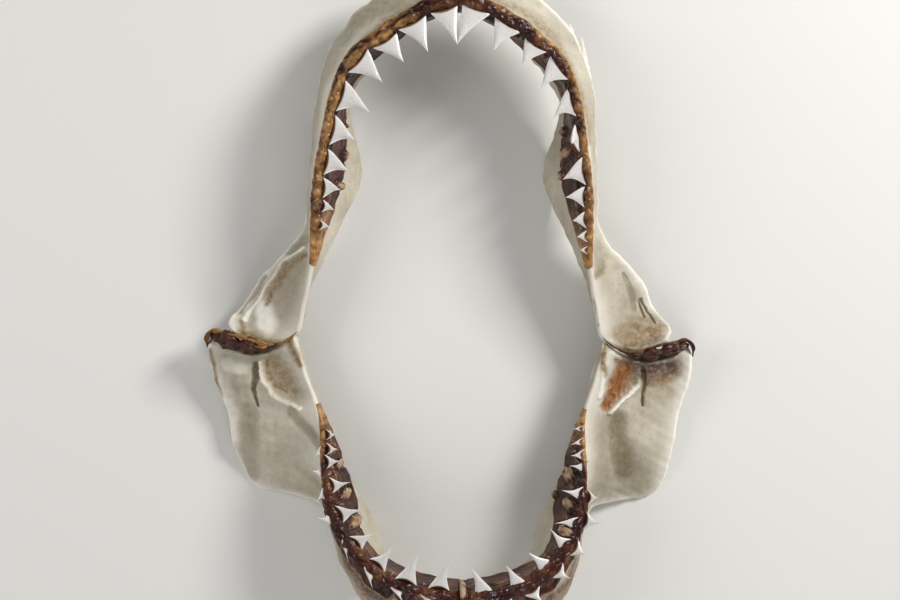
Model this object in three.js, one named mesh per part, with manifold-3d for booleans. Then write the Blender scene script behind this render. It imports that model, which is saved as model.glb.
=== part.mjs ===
// Dried jaws of a requiem shark, opened and lying on their back.
// Millimetres. +X right and +Y from the lower to the upper jaw, as one looks down into the mouth,
// and +Z up towards the eye. Each half jaw is one cartilage, lofted through three edges: the ridge
// that carries the teeth, the outer border and the rear edge. Both sides share these edges.

import * as THREE from 'three';
import { mergeVertices } from 'three/addons/utils/BufferGeometryUtils.js';
import Module from 'manifold-3d';

const wasm = await Module();
wasm.setup();

// ---- driving dimensions ----

const gap = 0.3;               // between pieces that touch
const centre = [0.1, -4.2];    // middle of the whole outline, moved to X = Y = 0
const floorLift = 0.6;         // how far the lowest curves are cut back to lie flat

// the dried jaws are slightly out of true
const hingeLevel = -27;        // Y of the two hinges
const archReach = 228;         // from the hinges to either end
const upperBow = 5.7;          // sideways drift of the upper symphysis
const lowerBow = 10.7;         // sideways drift of the lower symphysis
const bowPower = 1.5;          // how it grows with the distance from the hinges
const tilt = 0.02;             // one side hangs this much lower
const shoulderLift = 2.5;      // and its upper plate stands this much higher at the shoulder
const shoulder = { x: 120, y: 25, spread: 25 };

const symphysisHalf = 1;       // half the thickness of the pad between the right and left cartilage

const symphysisInset = 1;      // how far the pad stays inside the outline of the cartilage

const steps = 28;              // sections along a half jaw
const gumSteps = 22;           // sections along its gum
const early = 0.2;             // places by which a half runs past the symphysis before it is cut
const nearby = 0.05;           // places to either side that give the direction of an edge
const weld = 1e-4;             // corners closer than this are one

// Outlines of one half jaw from the symphysis to the hinge, seen from above. The three edges of
// a jaw have as many places as each other, and a section joins places of the same number.
const upper = {
  ridge: [[0, 196], [28, 187], [50, 173], [68.5, 159], [80, 134.5], [89, 86],
    [90, 64], [92, 42], [92.5, 23], [93.5, 9], [96.5, -5], [100, -22], [107, -29]],
  border: [[0, 220], [37, 212], [63, 195], [82, 170], [92, 139], [96, 93],
    [97, 72], [98.5, 50], [108, 35], [128, 14], [139, -5], [149, -17], [147, -25]],
  rear: [[0, 194], [26, 184], [46, 168], [62, 152], [73, 130], [63, 90],
    [69, 66], [78, 46], [85.5, 26], [92.5, 9], [96.5, -5], [100, -22], [107, -28]],
  ridgeHeight: [66, 64, 61, 58, 55, 51, 48, 45, 42, 38, 34, 30, 28],
  borderHeight: [36, 35, 33, 31, 29, 25, 23, 21, 17, 12, 11, 14, 18],
  rearHeight: [38, 34, 28, 22, 14, 0, 3, 14, 26, 34, 31, 27, 24],
  rounding: [4, 4, 4, 4, 3.6, 3, 3, 2.6, 2.6, 2.4, 2.4, 2.6, 3],
  outerBelly: [1, 2, 2, 2, 2, 1.5, 1, 0, -1, -2.5, -3, -2, 0],
  backBelly: [0, -1, -2, -3, -5, -8, -7, -4, -1, 2, 2, 1, 0],
  innerBelly: [1, 0, -1, -2, -3, -2, -1, 0, 0, 0, 0, 0, 0],
  endReach: [0, 0, 0, 0, 0, 0, 0, 0, 0, 0, 0, 2, 5],
};

const lower = {
  ridge: [[0, -194], [34, -190], [51.8, -181.5], [58, -177], [73, -160], [82, -140], [85, -121],
    [86, -105], [86, -88], [88, -73], [95, -53], [100, -35], [102, -27]],
  border: [[0, -228], [37, -223], [58.8, -209.3], [66, -202], [79, -178], [89, -143], [104, -134.5],
    [136, -128], [147, -106], [153, -75], [160, -55], [163, -37], [161, -29]],
  rear: [[0, -187], [32, -182], [47, -178], [53, -165], [56, -153], [63, -139], [71, -121],
    [75, -106], [81, -88], [87, -73], [94, -53], [99, -35], [102, -27]],
  ridgeHeight: [63, 61, 59, 58, 54, 49, 46, 43, 40, 37, 34, 33, 31],
  borderHeight: [32, 30, 27, 26, 20, 10, 5, 0, 6, 10, 14, 18, 20],
  rearHeight: [36, 30, 14, 8, 0, 3, 12, 22, 28, 31, 31, 30, 27],
  rounding: [4, 4, 3.7, 3.6, 3, 3, 3, 2.6, 2.4, 2.4, 2.4, 2.6, 3],
  outerBelly: [2, 2, 2, 2, 1.5, -1, -3, -3, -2, -2, -3, -3, 0],
  backBelly: [0, -1, -2, -4, -7, -5, 0, 2, 2, 2, 2, 2, 0],
  innerBelly: [0, -1, -1.5, -2, -2, -1, 0, 0, 0, 0, 0, 0, 0],
  endReach: [0, 0, 0, 0, 0, 0, 0, 0, 0, 0, -2, -7, -12],
};

// The gum covers the ridge, at the same places as the outlines: how far round the section its outer
// lip lies, the share of the inner face that it covers, and how thick it is on top and at the lips.
const upperGum = {
  ends: 8.05, thickness: 2.6,
  outerLip: [1.02, 1.02, 1.02, 0.9, 0.8, 0.85, 1, 0.9, 0.8],
  innerShare: [0.8, 0.8, 0.85, 0.85, 0.8, 0.6, 0.5, 0.42, 0.3],
};
const lowerGum = {
  ends: 9.1, thickness: 2.8,
  outerLip: [1.26, 1.26, 1.26, 1.24, 1.2, 1.1, 1, 0.9, 0.8, 0.7],
  innerShare: [0.95, 0.95, 0.92, 0.5, 0.48, 0.75, 0.95, 1, 1, 1],
};
const lipThickness = 0.9;
const gumDepth = 1.5;          // how far the gum reaches under the ridge before it is cut to it
const gumTail = { share: 0.25, thin: 0.25 };   // last stretch, and the thickness left at its end
const innerRoll = { foot: 0.8, near: 0.7, nearSwell: 1.1, far: 0.3, farSwell: 1.2 };
const outerRoll = { near: 0.4, far: 0.75, foot: 0.85 };

// Tooth charts: place along the ridge from the symphysis, crown width, crown height, how far the
// tip leans towards the hinge, and the rise in radians where it isn't the row's own.
const upperLeftTeeth = [
  [10.5, 18, 23.5, -2.5], [34, 20, 20.5, -0.5], [56, 18.5, 17.5, -2.5], [79.5, 20, 20.5, 1],
  [107, 21, 20.5, 5.5], [131, 20, 14.5, 4], [152.5, 17.5, 14.5, 4], [170, 13.5, 10, 1.5],
  [182, 8, 6.5, 2], [194.5, 6, 5, 1],
];
const upperRightTeeth = [
  [13, 20, 25, -3.5], [37, 20, 18.5, 1.5], [60.5, 17, 16, 0.5], [83, 20, 17, 5.5],
  [108.5, 19.5, 13.5, 8], [133, 18.5, 13, 4, 1.15], [155.5, 18.5, 13, 4], [172.5, 14, 11, 1],
  [188, 11, 7, 0], [199, 7.5, 5, 0], [208, 5, 3, 0],
];
const lowerLeftTeeth = [
  [14, 14, 17, -6], [37, 15, 20.5, -3.5], [60, 13, 15.2, 1.5], [80, 12, 13.5, -3],
  [102, 12.5, 14.5, -2], [121, 11, 11.5, 1.5], [136, 10, 8, 0.5], [148, 8, 5.5, 0], [158, 7, 4, 0],
];
const lowerRightTeeth = [
  [16, 13.5, 17, -6.5], [40.5, 12.5, 14.5, -2], [64, 13, 14, -1.5], [84, 11, 13, 4],
  [100, 9.5, 11, -5], [119, 10, 12, 1], [136, 8.5, 9, 0.5], [147, 7.5, 6.5, -0.5],
  [156.5, 5.5, 6, -2], [165, 4.5, 4, -0.5],
];
// older lower teeth, folded outwards in front of the working row
const lowerLeftOuterTeeth = [
  [20, 12, 7, -6], [41, 12, 6, -8], [60, 12, 6, -9], [82, 11, 4.5, -9], [101, 12, 7.5, 4],
  [120, 11, 5, -5], [134, 10, 6, 2], [148, 9, 3.5, -4],
];
const lowerRightOuterTeeth = [
  [27, 12.5, 8, 4], [46, 13, 9, 3], [66, 13.5, 8, 3], [85, 12.5, 8, 1], [104, 12, 10, 4],
  [121, 9, 5, 1],
];
const crownThickness = 0.24;   // of the crown's width
const lipSide = 0.45;          // share of the thickness on the face that looks up
const rootDepth = 5;           // how deep a tooth is set in the gum
const rootShare = 0.8;         // width of the root's end, of the crown's width
// points of a crown's edges as shares of its half width, of the lean and of its height
const frontBend = { width: 0.5, lean: 0.3, height: 0.4 };
const rearNotch = { lean: 0.35, height: 0.42 };
const rearHeel = { width: 0.7, height: 0.15 };
const thickest = { lean: 0.2, height: 0.12 };

// hinge ligament: path, half width and half height from the outer knob to the inner end
const ligamentPath = [[161, -26.5, 21], [148, -29.5, 26.5], [134, -34, 28.5], [121, -35.5, 30],
  [110, -31, 32], [103, -26, 32]];
const ligamentHalfWidth = [4.8, 5, 5.2, 4.6, 3, 2];
const ligamentHalfHeight = [6, 4.5, 4.5, 4.5, 3.6, 3];
const ligamentSteps = 10;
const ligamentSides = 7;
const ligamentKnob = { start: 0.35, growth: 4 };   // how bluntly the outer knob begins

// a flake of cartilage that stands off the right border of the upper jaw
const splinter = { root: [84.5, 158, 30], tip: [74.5, 187, 33], width: 5.5, thickness: 2 };
const splinterSides = 6;

const beyond = 800;            // larger than the whole object, for the bodies that cut it

const colours = { cartilage: 0xbfb7a5, gum: 0x5a2f1e, ligament: 0x7a5328, symphysis: 0x8a6a44 };

// ---- curves and sections ----

// A smooth run through evenly counted places. It starts one place early, mirrored across the
// symphysis, so that the two halves meet without a kink.
function smoothRun(points) {
  const early = points[1].clone();
  early.x *= -1;
  return new THREE.CatmullRomCurve3([early, ...points], false, 'catmullrom', 0.5);
}

const trackOf = (curve) => (place) => curve.getPoint(Math.min((place + 1) / (curve.points.length - 1), 1));

const scalarTrack = (values) => {
  const along = trackOf(smoothRun(values.map((value) => new THREE.Vector3(0, value, 0))));
  return (place) => along(place).y;
};

function jawEdges(jaw) {
  const run = (plan, heights) => smoothRun(plan.map(([x, y], i) => new THREE.Vector3(x, y, heights[i])));
  const ridgeRun = run(jaw.ridge, jaw.ridgeHeight);
  return {
    last: jaw.ridge.length - 1,
    ridgeRun,
    ridge: trackOf(ridgeRun),
    border: trackOf(run(jaw.border, jaw.borderHeight)),
    rear: trackOf(run(jaw.rear, jaw.rearHeight)),
    rounding: scalarTrack(jaw.rounding),
    bellies: [jaw.outerBelly, jaw.backBelly, jaw.innerBelly].map(scalarTrack),
    endReach: scalarTrack(jaw.endReach),
  };
}

// The place number at a distance along the ridge from the symphysis.
function placeAt(edges, distance) {
  const perPlace = 40;
  const lengths = edges.ridgeRun.getLengths(perPlace * (edges.last + 1));
  const found = lengths.findIndex((length) => length - lengths[perPlace] >= distance);
  return found / perPlace - 1;
}

// One section: a triangle in its own plane, with rounded corners and bellied sides.
function sectionAt(edges, place) {
  const corners = [edges.ridge(place), edges.border(place), edges.rear(place)];
  const middle = corners.reduce((sum, p) => sum.add(p), new THREE.Vector3()).divideScalar(3);
  const ahead = Math.min(place + nearby, edges.last);
  const behind = ahead - 2 * nearby;
  const along = edges.ridge(ahead).add(edges.border(ahead))
    .sub(edges.ridge(behind)).sub(edges.border(behind)).normalize();
  const round = edges.rounding(place);
  corners.forEach((p) => p.addScaledVector(middle.clone().sub(p).normalize(), round));
  const [ridge, border, rear] = corners;
  const across = border.clone().sub(ridge);
  across.addScaledVector(along, -across.dot(along)).normalize();
  const deep = rear.clone().sub(ridge);
  deep.addScaledVector(along, -deep.dot(along));
  deep.addScaledVector(across, -deep.dot(across)).normalize();
  const flat = corners.map((p) => {
    const arm = p.clone().sub(ridge);
    return new THREE.Vector2(arm.dot(across), arm.dot(deep));
  });
  const sides = flat.map((p, i) => {
    const edge = flat[(i + 1) % 3].clone().sub(p);
    return { length: edge.length(), turn: Math.atan2(edge.y, edge.x) - Math.PI / 2 };
  });
  for (let i = 1; i < 3; i += 1) {
    while (sides[i].turn < sides[i - 1].turn) sides[i].turn += 2 * Math.PI;
  }
  const bellies = edges.bellies.map((belly) => belly(place));
  return { corners, across, deep, along, sides, bellies, round, endReach: edges.endReach(place) };
}

// A point of the section's outline. Corners take 0..1, 2..3 and 4..5 of the way round, and the
// outer, back and inner sides take 1..2, 3..4 and 5..6.
function outlinePoint(section, way, offset) {
  const turned = ((way % 6) + 6) % 6;
  const slot = Math.floor(turned);
  const share = turned - slot;
  const corner = Math.floor(slot / 2);
  const side = section.sides[corner];
  const previous = section.sides[(corner + 2) % 3];
  const point = section.corners[corner].clone();
  const lastTurn = corner === 0 ? previous.turn - 2 * Math.PI : previous.turn;
  const turn = slot % 2 === 0 ? lastTurn + (side.turn - lastTurn) * share : side.turn;
  const normal = section.across.clone().multiplyScalar(Math.cos(turn))
    .addScaledVector(section.deep, Math.sin(turn));
  if (slot % 2 === 1) {
    point.lerp(section.corners[(corner + 1) % 3], share);
    const bulge = 4 * share * (1 - share);
    point.addScaledVector(normal, section.bellies[corner] * bulge);
    if (corner < 2) point.addScaledVector(section.along, section.endReach * bulge);
  }
  return point.addScaledVector(normal, section.round + offset);
}

// ---- solids ----

// Turns rings of points into a closed body with flat ends.
function loftGeometry(rings) {
  const count = rings[0].length;
  const positions = rings.flat().flatMap((p) => [p.x, p.y, p.z]);
  const faces = [];
  for (let i = 0; i < rings.length - 1; i += 1) {
    for (let j = 0; j < count; j += 1) {
      const a = i * count + j;
      const b = i * count + ((j + 1) % count);
      faces.push(a, b, b + count, a, b + count, a + count);
    }
  }
  [0, rings.length - 1].forEach((index) => {
    const ring = rings[index];
    const origin = ring[0];
    const first = ring[Math.floor(count / 3)].clone().sub(origin).normalize();
    const plane = new THREE.Vector3();
    ring.forEach((p, i) => {
      const next = ring[(i + 1) % count].clone().sub(origin);
      plane.add(p.clone().sub(origin).cross(next));
    });
    const second = plane.normalize().clone().cross(first).normalize();
    const outline = ring.map((p) => {
      const arm = p.clone().sub(origin);
      return new THREE.Vector2(arm.dot(first), arm.dot(second));
    });
    THREE.ShapeUtils.triangulateShape(outline, []).forEach(([a, b, c]) => {
      const base = index * count;
      faces.push(...(index === 0 ? [a, c, b] : [a, b, c]).map((k) => base + k));
    });
  });
  const geometry = new THREE.BufferGeometry();
  geometry.setAttribute('position', new THREE.Float32BufferAttribute(positions, 3));
  geometry.setIndex(faces);
  return geometry;
}

function toSolid(geometry) {
  const bare = geometry.clone();
  bare.deleteAttribute('normal');
  bare.deleteAttribute('uv');
  const merged = mergeVertices(bare, weld);
  const { position } = merged.attributes;
  const corner = (k) => new THREE.Vector3().fromBufferAttribute(position, merged.index.getX(k));
  let volume = 0;
  for (let k = 0; k < merged.index.count; k += 3) {
    volume += corner(k).dot(corner(k + 1).cross(corner(k + 2)));
  }
  const triVerts = new Uint32Array(merged.index.array);
  if (volume < 0) triVerts.reverse();
  const vertProperties = new Float32Array(position.array);
  return new wasm.Manifold(new wasm.Mesh({ numProp: 3, vertProperties, triVerts }));
}

function toGeometry(solid) {
  const mesh = solid.getMesh();
  const geometry = new THREE.BufferGeometry();
  geometry.setAttribute('position', new THREE.Float32BufferAttribute(mesh.vertProperties, 3));
  geometry.setIndex(Array.from(mesh.triVerts));
  return geometry;
}

// ---- pieces of one half jaw ----

const endSwell = 1.5;          // a swollen half also runs on past its end, in offsets
const cartilageWays = [0, 0.5, 1, 1.33, 1.67, 2, 2.5, 3, 3.5, 4, 4.5, 5, 5.5];

function cartilage(edges, offset) {
  const rings = [];
  for (let i = 0; i <= steps; i += 1) {
    const section = sectionAt(edges, THREE.MathUtils.lerp(-early, edges.last, i / steps));
    const ring = cartilageWays.map((way) => outlinePoint(section, way, offset));
    if (i === steps) ring.forEach((p) => p.addScaledVector(section.along, endSwell * offset));
    rings.push(ring);
  }
  return toSolid(loftGeometry(rings));
}

function gumSheet(edges, gum) {
  const outerLip = scalarTrack(gum.outerLip);
  const innerShare = scalarTrack(gum.innerShare);
  const rings = [];
  for (let i = 0; i <= gumSteps; i += 1) {
    const place = THREE.MathUtils.lerp(-early, gum.ends, i / gumSteps);
    const section = sectionAt(edges, place);
    const fade = Math.min(1, (1 - i / gumSteps) / gumTail.share + gumTail.thin);
    const thick = gum.thickness * fade;
    const thin = lipThickness * fade;
    const lip = outerLip(place);
    const inner = Math.min(innerShare(place), 0.98);
    rings.push([
      [-inner * innerRoll.foot, -gumDepth], [-inner, thin],
      [-inner * innerRoll.near, thick * innerRoll.nearSwell],
      [-inner * innerRoll.far, thick * innerRoll.farSwell], [0, thick],
      [lip * outerRoll.near, thick], [lip * outerRoll.far, thick],
      [lip, thin], [lip * outerRoll.foot, -gumDepth], [lip * outerRoll.near, -gumDepth],
    ].map(([way, offset]) => outlinePoint(section, way, offset)));
  }
  return toSolid(loftGeometry(rings));
}

// A blade: broad root, straight front edge, notched rear edge and a sharp tip. It points into
// the mouth, or outwards for the folded row.
function tooth(edges, [distance, width, height, lean, rise], shape, inset) {
  const place = placeAt(edges, distance);
  const section = sectionAt(edges, place);
  const side = edges.ridge(place + nearby).sub(edges.ridge(place - nearby)).setZ(0).normalize();
  const turn = rise ?? shape.rise;
  const into = new THREE.Vector3(side.y, -side.x, 0).multiplyScalar(edges.mouth * shape.facing);
  const root = outlinePoint(section, shape.way, shape.lift).addScaledVector(into, inset);
  const crown = into.multiplyScalar(Math.cos(turn));
  crown.z = Math.sin(turn);
  const face = side.clone().cross(crown);
  if (face.z < 0) face.negate();
  const half = width / 2;
  const outline = [
    [-half * rootShare, -rootDepth], [-half, 0],
    [-half * frontBend.width + lean * frontBend.lean, height * frontBend.height], [lean, height],
    [half * shape.notch + lean * rearNotch.lean, height * rearNotch.height],
    [half * rearHeel.width, height * rearHeel.height], [half, 0], [half * rootShare, -rootDepth],
  ];
  const at = ([u, v], w) => root.clone().addScaledVector(side, u).addScaledVector(crown, v)
    .addScaledVector(face, w);
  const points = outline.map((p) => at(p, 0));
  const thick = width * crownThickness;
  const belly = [lean * thickest.lean, height * thickest.height];
  points.push(at(belly, thick * lipSide), at(belly, -thick * (1 - lipSide)));
  const positions = points.flatMap((p) => [p.x, p.y, p.z]);
  const faces = [];
  const rim = outline.length;
  for (let i = 0; i < rim; i += 1) {
    const next = (i + 1) % rim;
    faces.push(i, next, rim, next, i, rim + 1);
  }
  const geometry = new THREE.BufferGeometry();
  geometry.setAttribute('position', new THREE.Float32BufferAttribute(positions, 3));
  geometry.setIndex(faces);
  return toSolid(geometry);
}

function ligament() {
  const centreLine = new THREE.CatmullRomCurve3(ligamentPath.map((p) => new THREE.Vector3(...p)));
  const halfWidth = scalarTrack(ligamentHalfWidth);
  const halfHeight = scalarTrack(ligamentHalfHeight);
  const last = ligamentPath.length - 1;
  const rings = [];
  for (let i = 0; i <= ligamentSteps; i += 1) {
    const place = (i / ligamentSteps) * last;
    const point = centreLine.getPoint(place / last);
    const ahead = centreLine.getTangent(place / last);
    const across = new THREE.Vector3(-ahead.y, ahead.x, 0).normalize();
    const grown = ligamentKnob.start + ligamentKnob.growth * (i / ligamentSteps);
    const taper = Math.sqrt(Math.min(1, grown));
    rings.push(Array.from({ length: ligamentSides }, (_, k) => {
      const turn = (k / ligamentSides) * 2 * Math.PI;
      return point.clone().addScaledVector(across, Math.cos(turn) * halfWidth(place) * taper)
        .add(new THREE.Vector3(0, 0, Math.sin(turn) * halfHeight(place) * taper));
    }));
  }
  return toSolid(loftGeometry(rings));
}

function splinterSolid() {
  const root = new THREE.Vector3(...splinter.root);
  const reach = new THREE.Vector3(...splinter.tip).sub(root);
  const geometry = new THREE.ConeGeometry(splinter.width / 2, reach.length(), splinterSides);
  geometry.scale(1, 1, splinter.thickness / splinter.width);
  geometry.translate(0, reach.length() / 2, 0);
  const upright = new THREE.Vector3(0, 1, 0);
  const turn = new THREE.Quaternion().setFromUnitVectors(upright, reach.clone().normalize());
  return toSolid(geometry.applyQuaternion(turn).translate(root.x, root.y, root.z));
}

// ---- both sides, out of true, cut flat underneath ----

const below = toSolid(new THREE.BoxGeometry(beyond, beyond, beyond)
  .translate(0, 0, floorLift - beyond / 2));

function settle(solid, side) {
  const geometry = toGeometry(solid.subtract(below));
  const position = geometry.attributes.position;
  for (let i = 0; i < position.count; i += 1) {
    const x = position.getX(i) * side;
    const away = Math.hypot(Math.abs(x) - shoulder.x, position.getY(i) - shoulder.y);
    const lift = shoulderLift * side * Math.exp(-((away / shoulder.spread) ** 2));
    const y = position.getY(i) - tilt * x + lift;
    const reach = Math.abs(y - hingeLevel) / archReach;
    const bow = (y > hingeLevel ? upperBow : lowerBow) * reach ** bowPower;
    position.setXYZ(i, x + bow - centre[0], y - centre[1], position.getZ(i) - floorLift);
  }
  if (side < 0) geometry.setIndex(Array.from(geometry.index.array).reverse());
  return geometry;
}

const group = new THREE.Group();

function add(name, solid, side, kind) {
  const material = new THREE.MeshStandardMaterial({
    color: colours[kind], roughness: kind === 'gum' ? 0.35 : 0.6, metalness: 0,
  });
  const mesh = new THREE.Mesh(settle(solid, side), material);
  mesh.name = name;
  group.add(mesh);
}

// Where on the gum a row stands, how it faces and rises, and how hollow its rear edge is.
const workingUpper = { way: 0.25, lift: 2.6, facing: 1, rise: 0.1, notch: 0.36 };
const workingLower = { way: 0.25, lift: 2.8, facing: 1, rise: 0.2, notch: 0.12 };
const foldedLower = { way: 0.8, lift: 2, facing: -1, rise: 0.35, notch: 0.12 };

const jaws = [
  {
    name: 'upper', shape: upper, gum: upperGum, mouth: 1,
    rows: [{
      shape: workingUpper, teeth: { right: upperRightTeeth, left: upperLeftTeeth },
      inset: { right: 1, left: 3 },
    }],
  },
  {
    name: 'lower', shape: lower, gum: lowerGum, mouth: -1,
    rows: [
      {
        shape: workingLower, teeth: { right: lowerRightTeeth, left: lowerLeftTeeth },
        inset: { right: 0, left: 3 },
      },
      {
        shape: foldedLower, teeth: { right: lowerRightOuterTeeth, left: lowerLeftOuterTeeth },
        inset: { right: 3, left: 0 },
      },
    ],
  },
];

const outwards = (from) => toSolid(new THREE.BoxGeometry(beyond, beyond, beyond)
  .translate(beyond / 2 + from, 0, 0));
const boneSide = outwards(symphysisHalf + gap);
const gumSide = outwards(gap);
const middle = toSolid(new THREE.BoxGeometry(2 * symphysisHalf, beyond, beyond));
const swollen = {};

for (const jaw of jaws) {
  const edges = jawEdges(jaw.shape);
  edges.mouth = jaw.mouth;
  let bone = cartilage(edges, 0);
  if (swollen.upper) bone = bone.subtract(swollen.upper);
  swollen[jaw.name] = cartilage(edges, gap);
  const sheet = gumSheet(edges, jaw.gum);
  add(`${jaw.name}_symphysis`, cartilage(edges, -symphysisInset).intersect(middle), 1, 'symphysis');
  for (const [sideName, side] of [['right', 1], ['left', -1]]) {
    let half = bone.intersect(boneSide);
    if (jaw.name === 'upper' && side === 1) half = half.add(splinterSolid());
    add(`${jaw.name}_jaw_${sideName}`, half, side, 'cartilage');
    let band = sheet.intersect(gumSide);
    for (const row of jaw.rows) {
      for (const entry of row.teeth[sideName]) {
        band = band.add(tooth(edges, entry, row.shape, row.inset[sideName]));
      }
    }
    add(`${jaw.name}_gum_${sideName}`, band.subtract(swollen[jaw.name]), side, 'gum');
  }
}

const hinge = ligament().subtract(swollen.upper).subtract(swollen.lower).decompose()
  .sort((a, b) => b.volume() - a.volume())[0];
add('hinge_ligament_right', hinge, 1, 'ligament');
add('hinge_ligament_left', hinge, -1, 'ligament');

export default group;
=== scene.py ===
import bpy
import numpy as np
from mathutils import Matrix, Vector


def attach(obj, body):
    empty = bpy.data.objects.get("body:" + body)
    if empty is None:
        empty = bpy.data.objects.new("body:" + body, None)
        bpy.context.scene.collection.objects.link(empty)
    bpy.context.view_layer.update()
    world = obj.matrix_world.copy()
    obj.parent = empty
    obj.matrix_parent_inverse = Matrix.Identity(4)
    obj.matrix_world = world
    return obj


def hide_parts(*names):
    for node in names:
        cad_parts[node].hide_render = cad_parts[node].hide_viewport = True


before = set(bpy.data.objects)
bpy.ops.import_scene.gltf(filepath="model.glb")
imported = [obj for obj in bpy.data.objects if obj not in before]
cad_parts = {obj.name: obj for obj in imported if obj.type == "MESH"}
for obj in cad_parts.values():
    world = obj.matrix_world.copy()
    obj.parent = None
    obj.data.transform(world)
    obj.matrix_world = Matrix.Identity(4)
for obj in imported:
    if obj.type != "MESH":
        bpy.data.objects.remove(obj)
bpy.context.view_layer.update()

# Dried jaws of a requiem shark, opened and lying on their back. Shapes are worked out in
# millimetres for one half, from the symphysis to the hinge, then settled to the right (+1) or
# left (-1) side and turned to metres.

# The half jaws: three edges along them, each point is x, y, height; rounding is the radius at the
# edges, bellies swell the outer, back and inner side, endReach draws the last sections forward.
upperJaw = {
    "ridge": [
        [0, 196, 66], [28, 187, 64], [50, 173, 61], [68.5, 159, 58], [80, 134.5, 55],
        [89, 86, 51], [90, 64, 48], [92, 42, 45], [92.5, 23, 42], [93.5, 9, 38],
        [96.5, -5, 34], [100, -22, 30], [107, -29, 28],
    ],
    "border": [
        [0, 220, 36], [37, 212, 35], [63, 195, 33], [82, 170, 31], [92, 139, 29],
        [96, 93, 25], [97, 72, 23], [98.5, 50, 21], [108, 35, 17], [128, 14, 12],
        [139, -5, 11], [149, -17, 14], [147, -25, 18],
    ],
    "rear": [
        [0, 194, 38], [26, 184, 34], [46, 168, 28], [62, 152, 22], [73, 130, 14],
        [63, 90, 0], [69, 66, 3], [78, 46, 14], [85.5, 26, 26], [92.5, 9, 34],
        [96.5, -5, 31], [100, -22, 27], [107, -28, 24],
    ],
    "rounding": [4, 4, 4, 4, 3.6, 3, 3, 2.6, 2.6, 2.4, 2.4, 2.6, 3],
    "bellies": [
        [1, 2, 2, 2, 2, 1.5, 1, 0, -1, -2.5, -3, -2, 0],
        [0, -1, -2, -3, -5, -8, -7, -4, -1, 2, 2, 1, 0],
        [1, 0, -1, -2, -3, -2, -1, 0, 0, 0, 0, 0, 0],
    ],
    "endReach": [0, 0, 0, 0, 0, 0, 0, 0, 0, 0, 0, 2, 5],
    "mouth": 1,
}
lowerJaw = {
    "ridge": [
        [0, -194, 63], [34, -190, 61], [51.8, -181.5, 59], [58, -177, 58], [73, -160, 54],
        [82, -140, 49], [85, -121, 46], [86, -105, 43], [86, -88, 40], [88, -73, 37],
        [95, -53, 34], [100, -35, 33], [102, -27, 31],
    ],
    "border": [
        [0, -228, 32], [37, -223, 30], [58.8, -209.3, 27], [66, -202, 26], [79, -178, 20],
        [89, -143, 10], [104, -134.5, 5], [136, -128, 0], [147, -106, 6], [153, -75, 10],
        [160, -55, 14], [163, -37, 18], [161, -29, 20],
    ],
    "rear": [
        [0, -187, 36], [32, -182, 30], [47, -178, 14], [53, -165, 8], [56, -153, 0],
        [63, -139, 3], [71, -121, 12], [75, -106, 22], [81, -88, 28], [87, -73, 31],
        [94, -53, 31], [99, -35, 30], [102, -27, 27],
    ],
    "rounding": [4, 4, 3.7, 3.6, 3, 3, 3, 2.6, 2.4, 2.4, 2.4, 2.6, 3],
    "bellies": [
        [2, 2, 2, 2, 1.5, -1, -3, -3, -2, -2, -3, -3, 0],
        [0, -1, -2, -4, -7, -5, 0, 2, 2, 2, 2, 2, 0],
        [0, -1, -1.5, -2, -2, -1, 0, 0, 0, 0, 0, 0, 0],
    ],
    "endReach": [0, 0, 0, 0, 0, 0, 0, 0, 0, 0, -2, -7, -12],
    "mouth": -1,
}
jawSet = {  # how the dried pair lies
    "hingeLevel": -27, "archReach": 228, "upperBow": 5.7, "lowerBow": 10.7,
    "tilt": 0.02, "shoulderLift": 2.5, "shoulder": (120, 25), "shoulderSpread": 25,
    "bowPower": 1.5, "centre": (0.1, -4.2), "floorLift": 0.6, "padHalf": 1.0, "gap": 0.3,
}
sideNames = {1: "right", -1: "left"}
nearby = 0.05  # of a place, for the directions along a jaw
evenSteps, ridgeSteps = 1200, 1500  # fine steps for lengths along a jaw
waveCount, waveSpread = 14, (0.7, 1.5)  # of smooth unevenness


# Vectors turned to length one.
def unit(v):
    return v / np.linalg.norm(v, axis=-1, keepdims=True)


# Cubic pieces through a line of points: the slope at each point is half the step between its two
# neighbours.
def cubicRun(line, spot):
    low = np.floor(spot).astype(int)
    t = (spot - low)[..., None]
    before, here, there, after = (line[low + i] for i in range(4))
    return 0.5 * (2 * here + (there - before) * t + (2 * before - 5 * here + 4 * there - after) * t**2
                  + (3 * here - before - 3 * there + after) * t**3)


# Smooth run through evenly counted places of a half jaw. One place before the first, the run is
# mirrored in x.
def runAt(places, knots):
    knots = np.asarray(knots, float)
    knots = knots[:, None] if knots.ndim == 1 else knots
    early = knots[1] * ([-1, 1, 1] if knots.shape[1] == 3 else [1])
    line = np.vstack([2 * early - knots[0], early, knots, 2 * knots[-1] - knots[-2]])
    return cubicRun(line, np.clip(np.asarray(places, float) + 1, 0, len(knots) - 1e-9))


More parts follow.
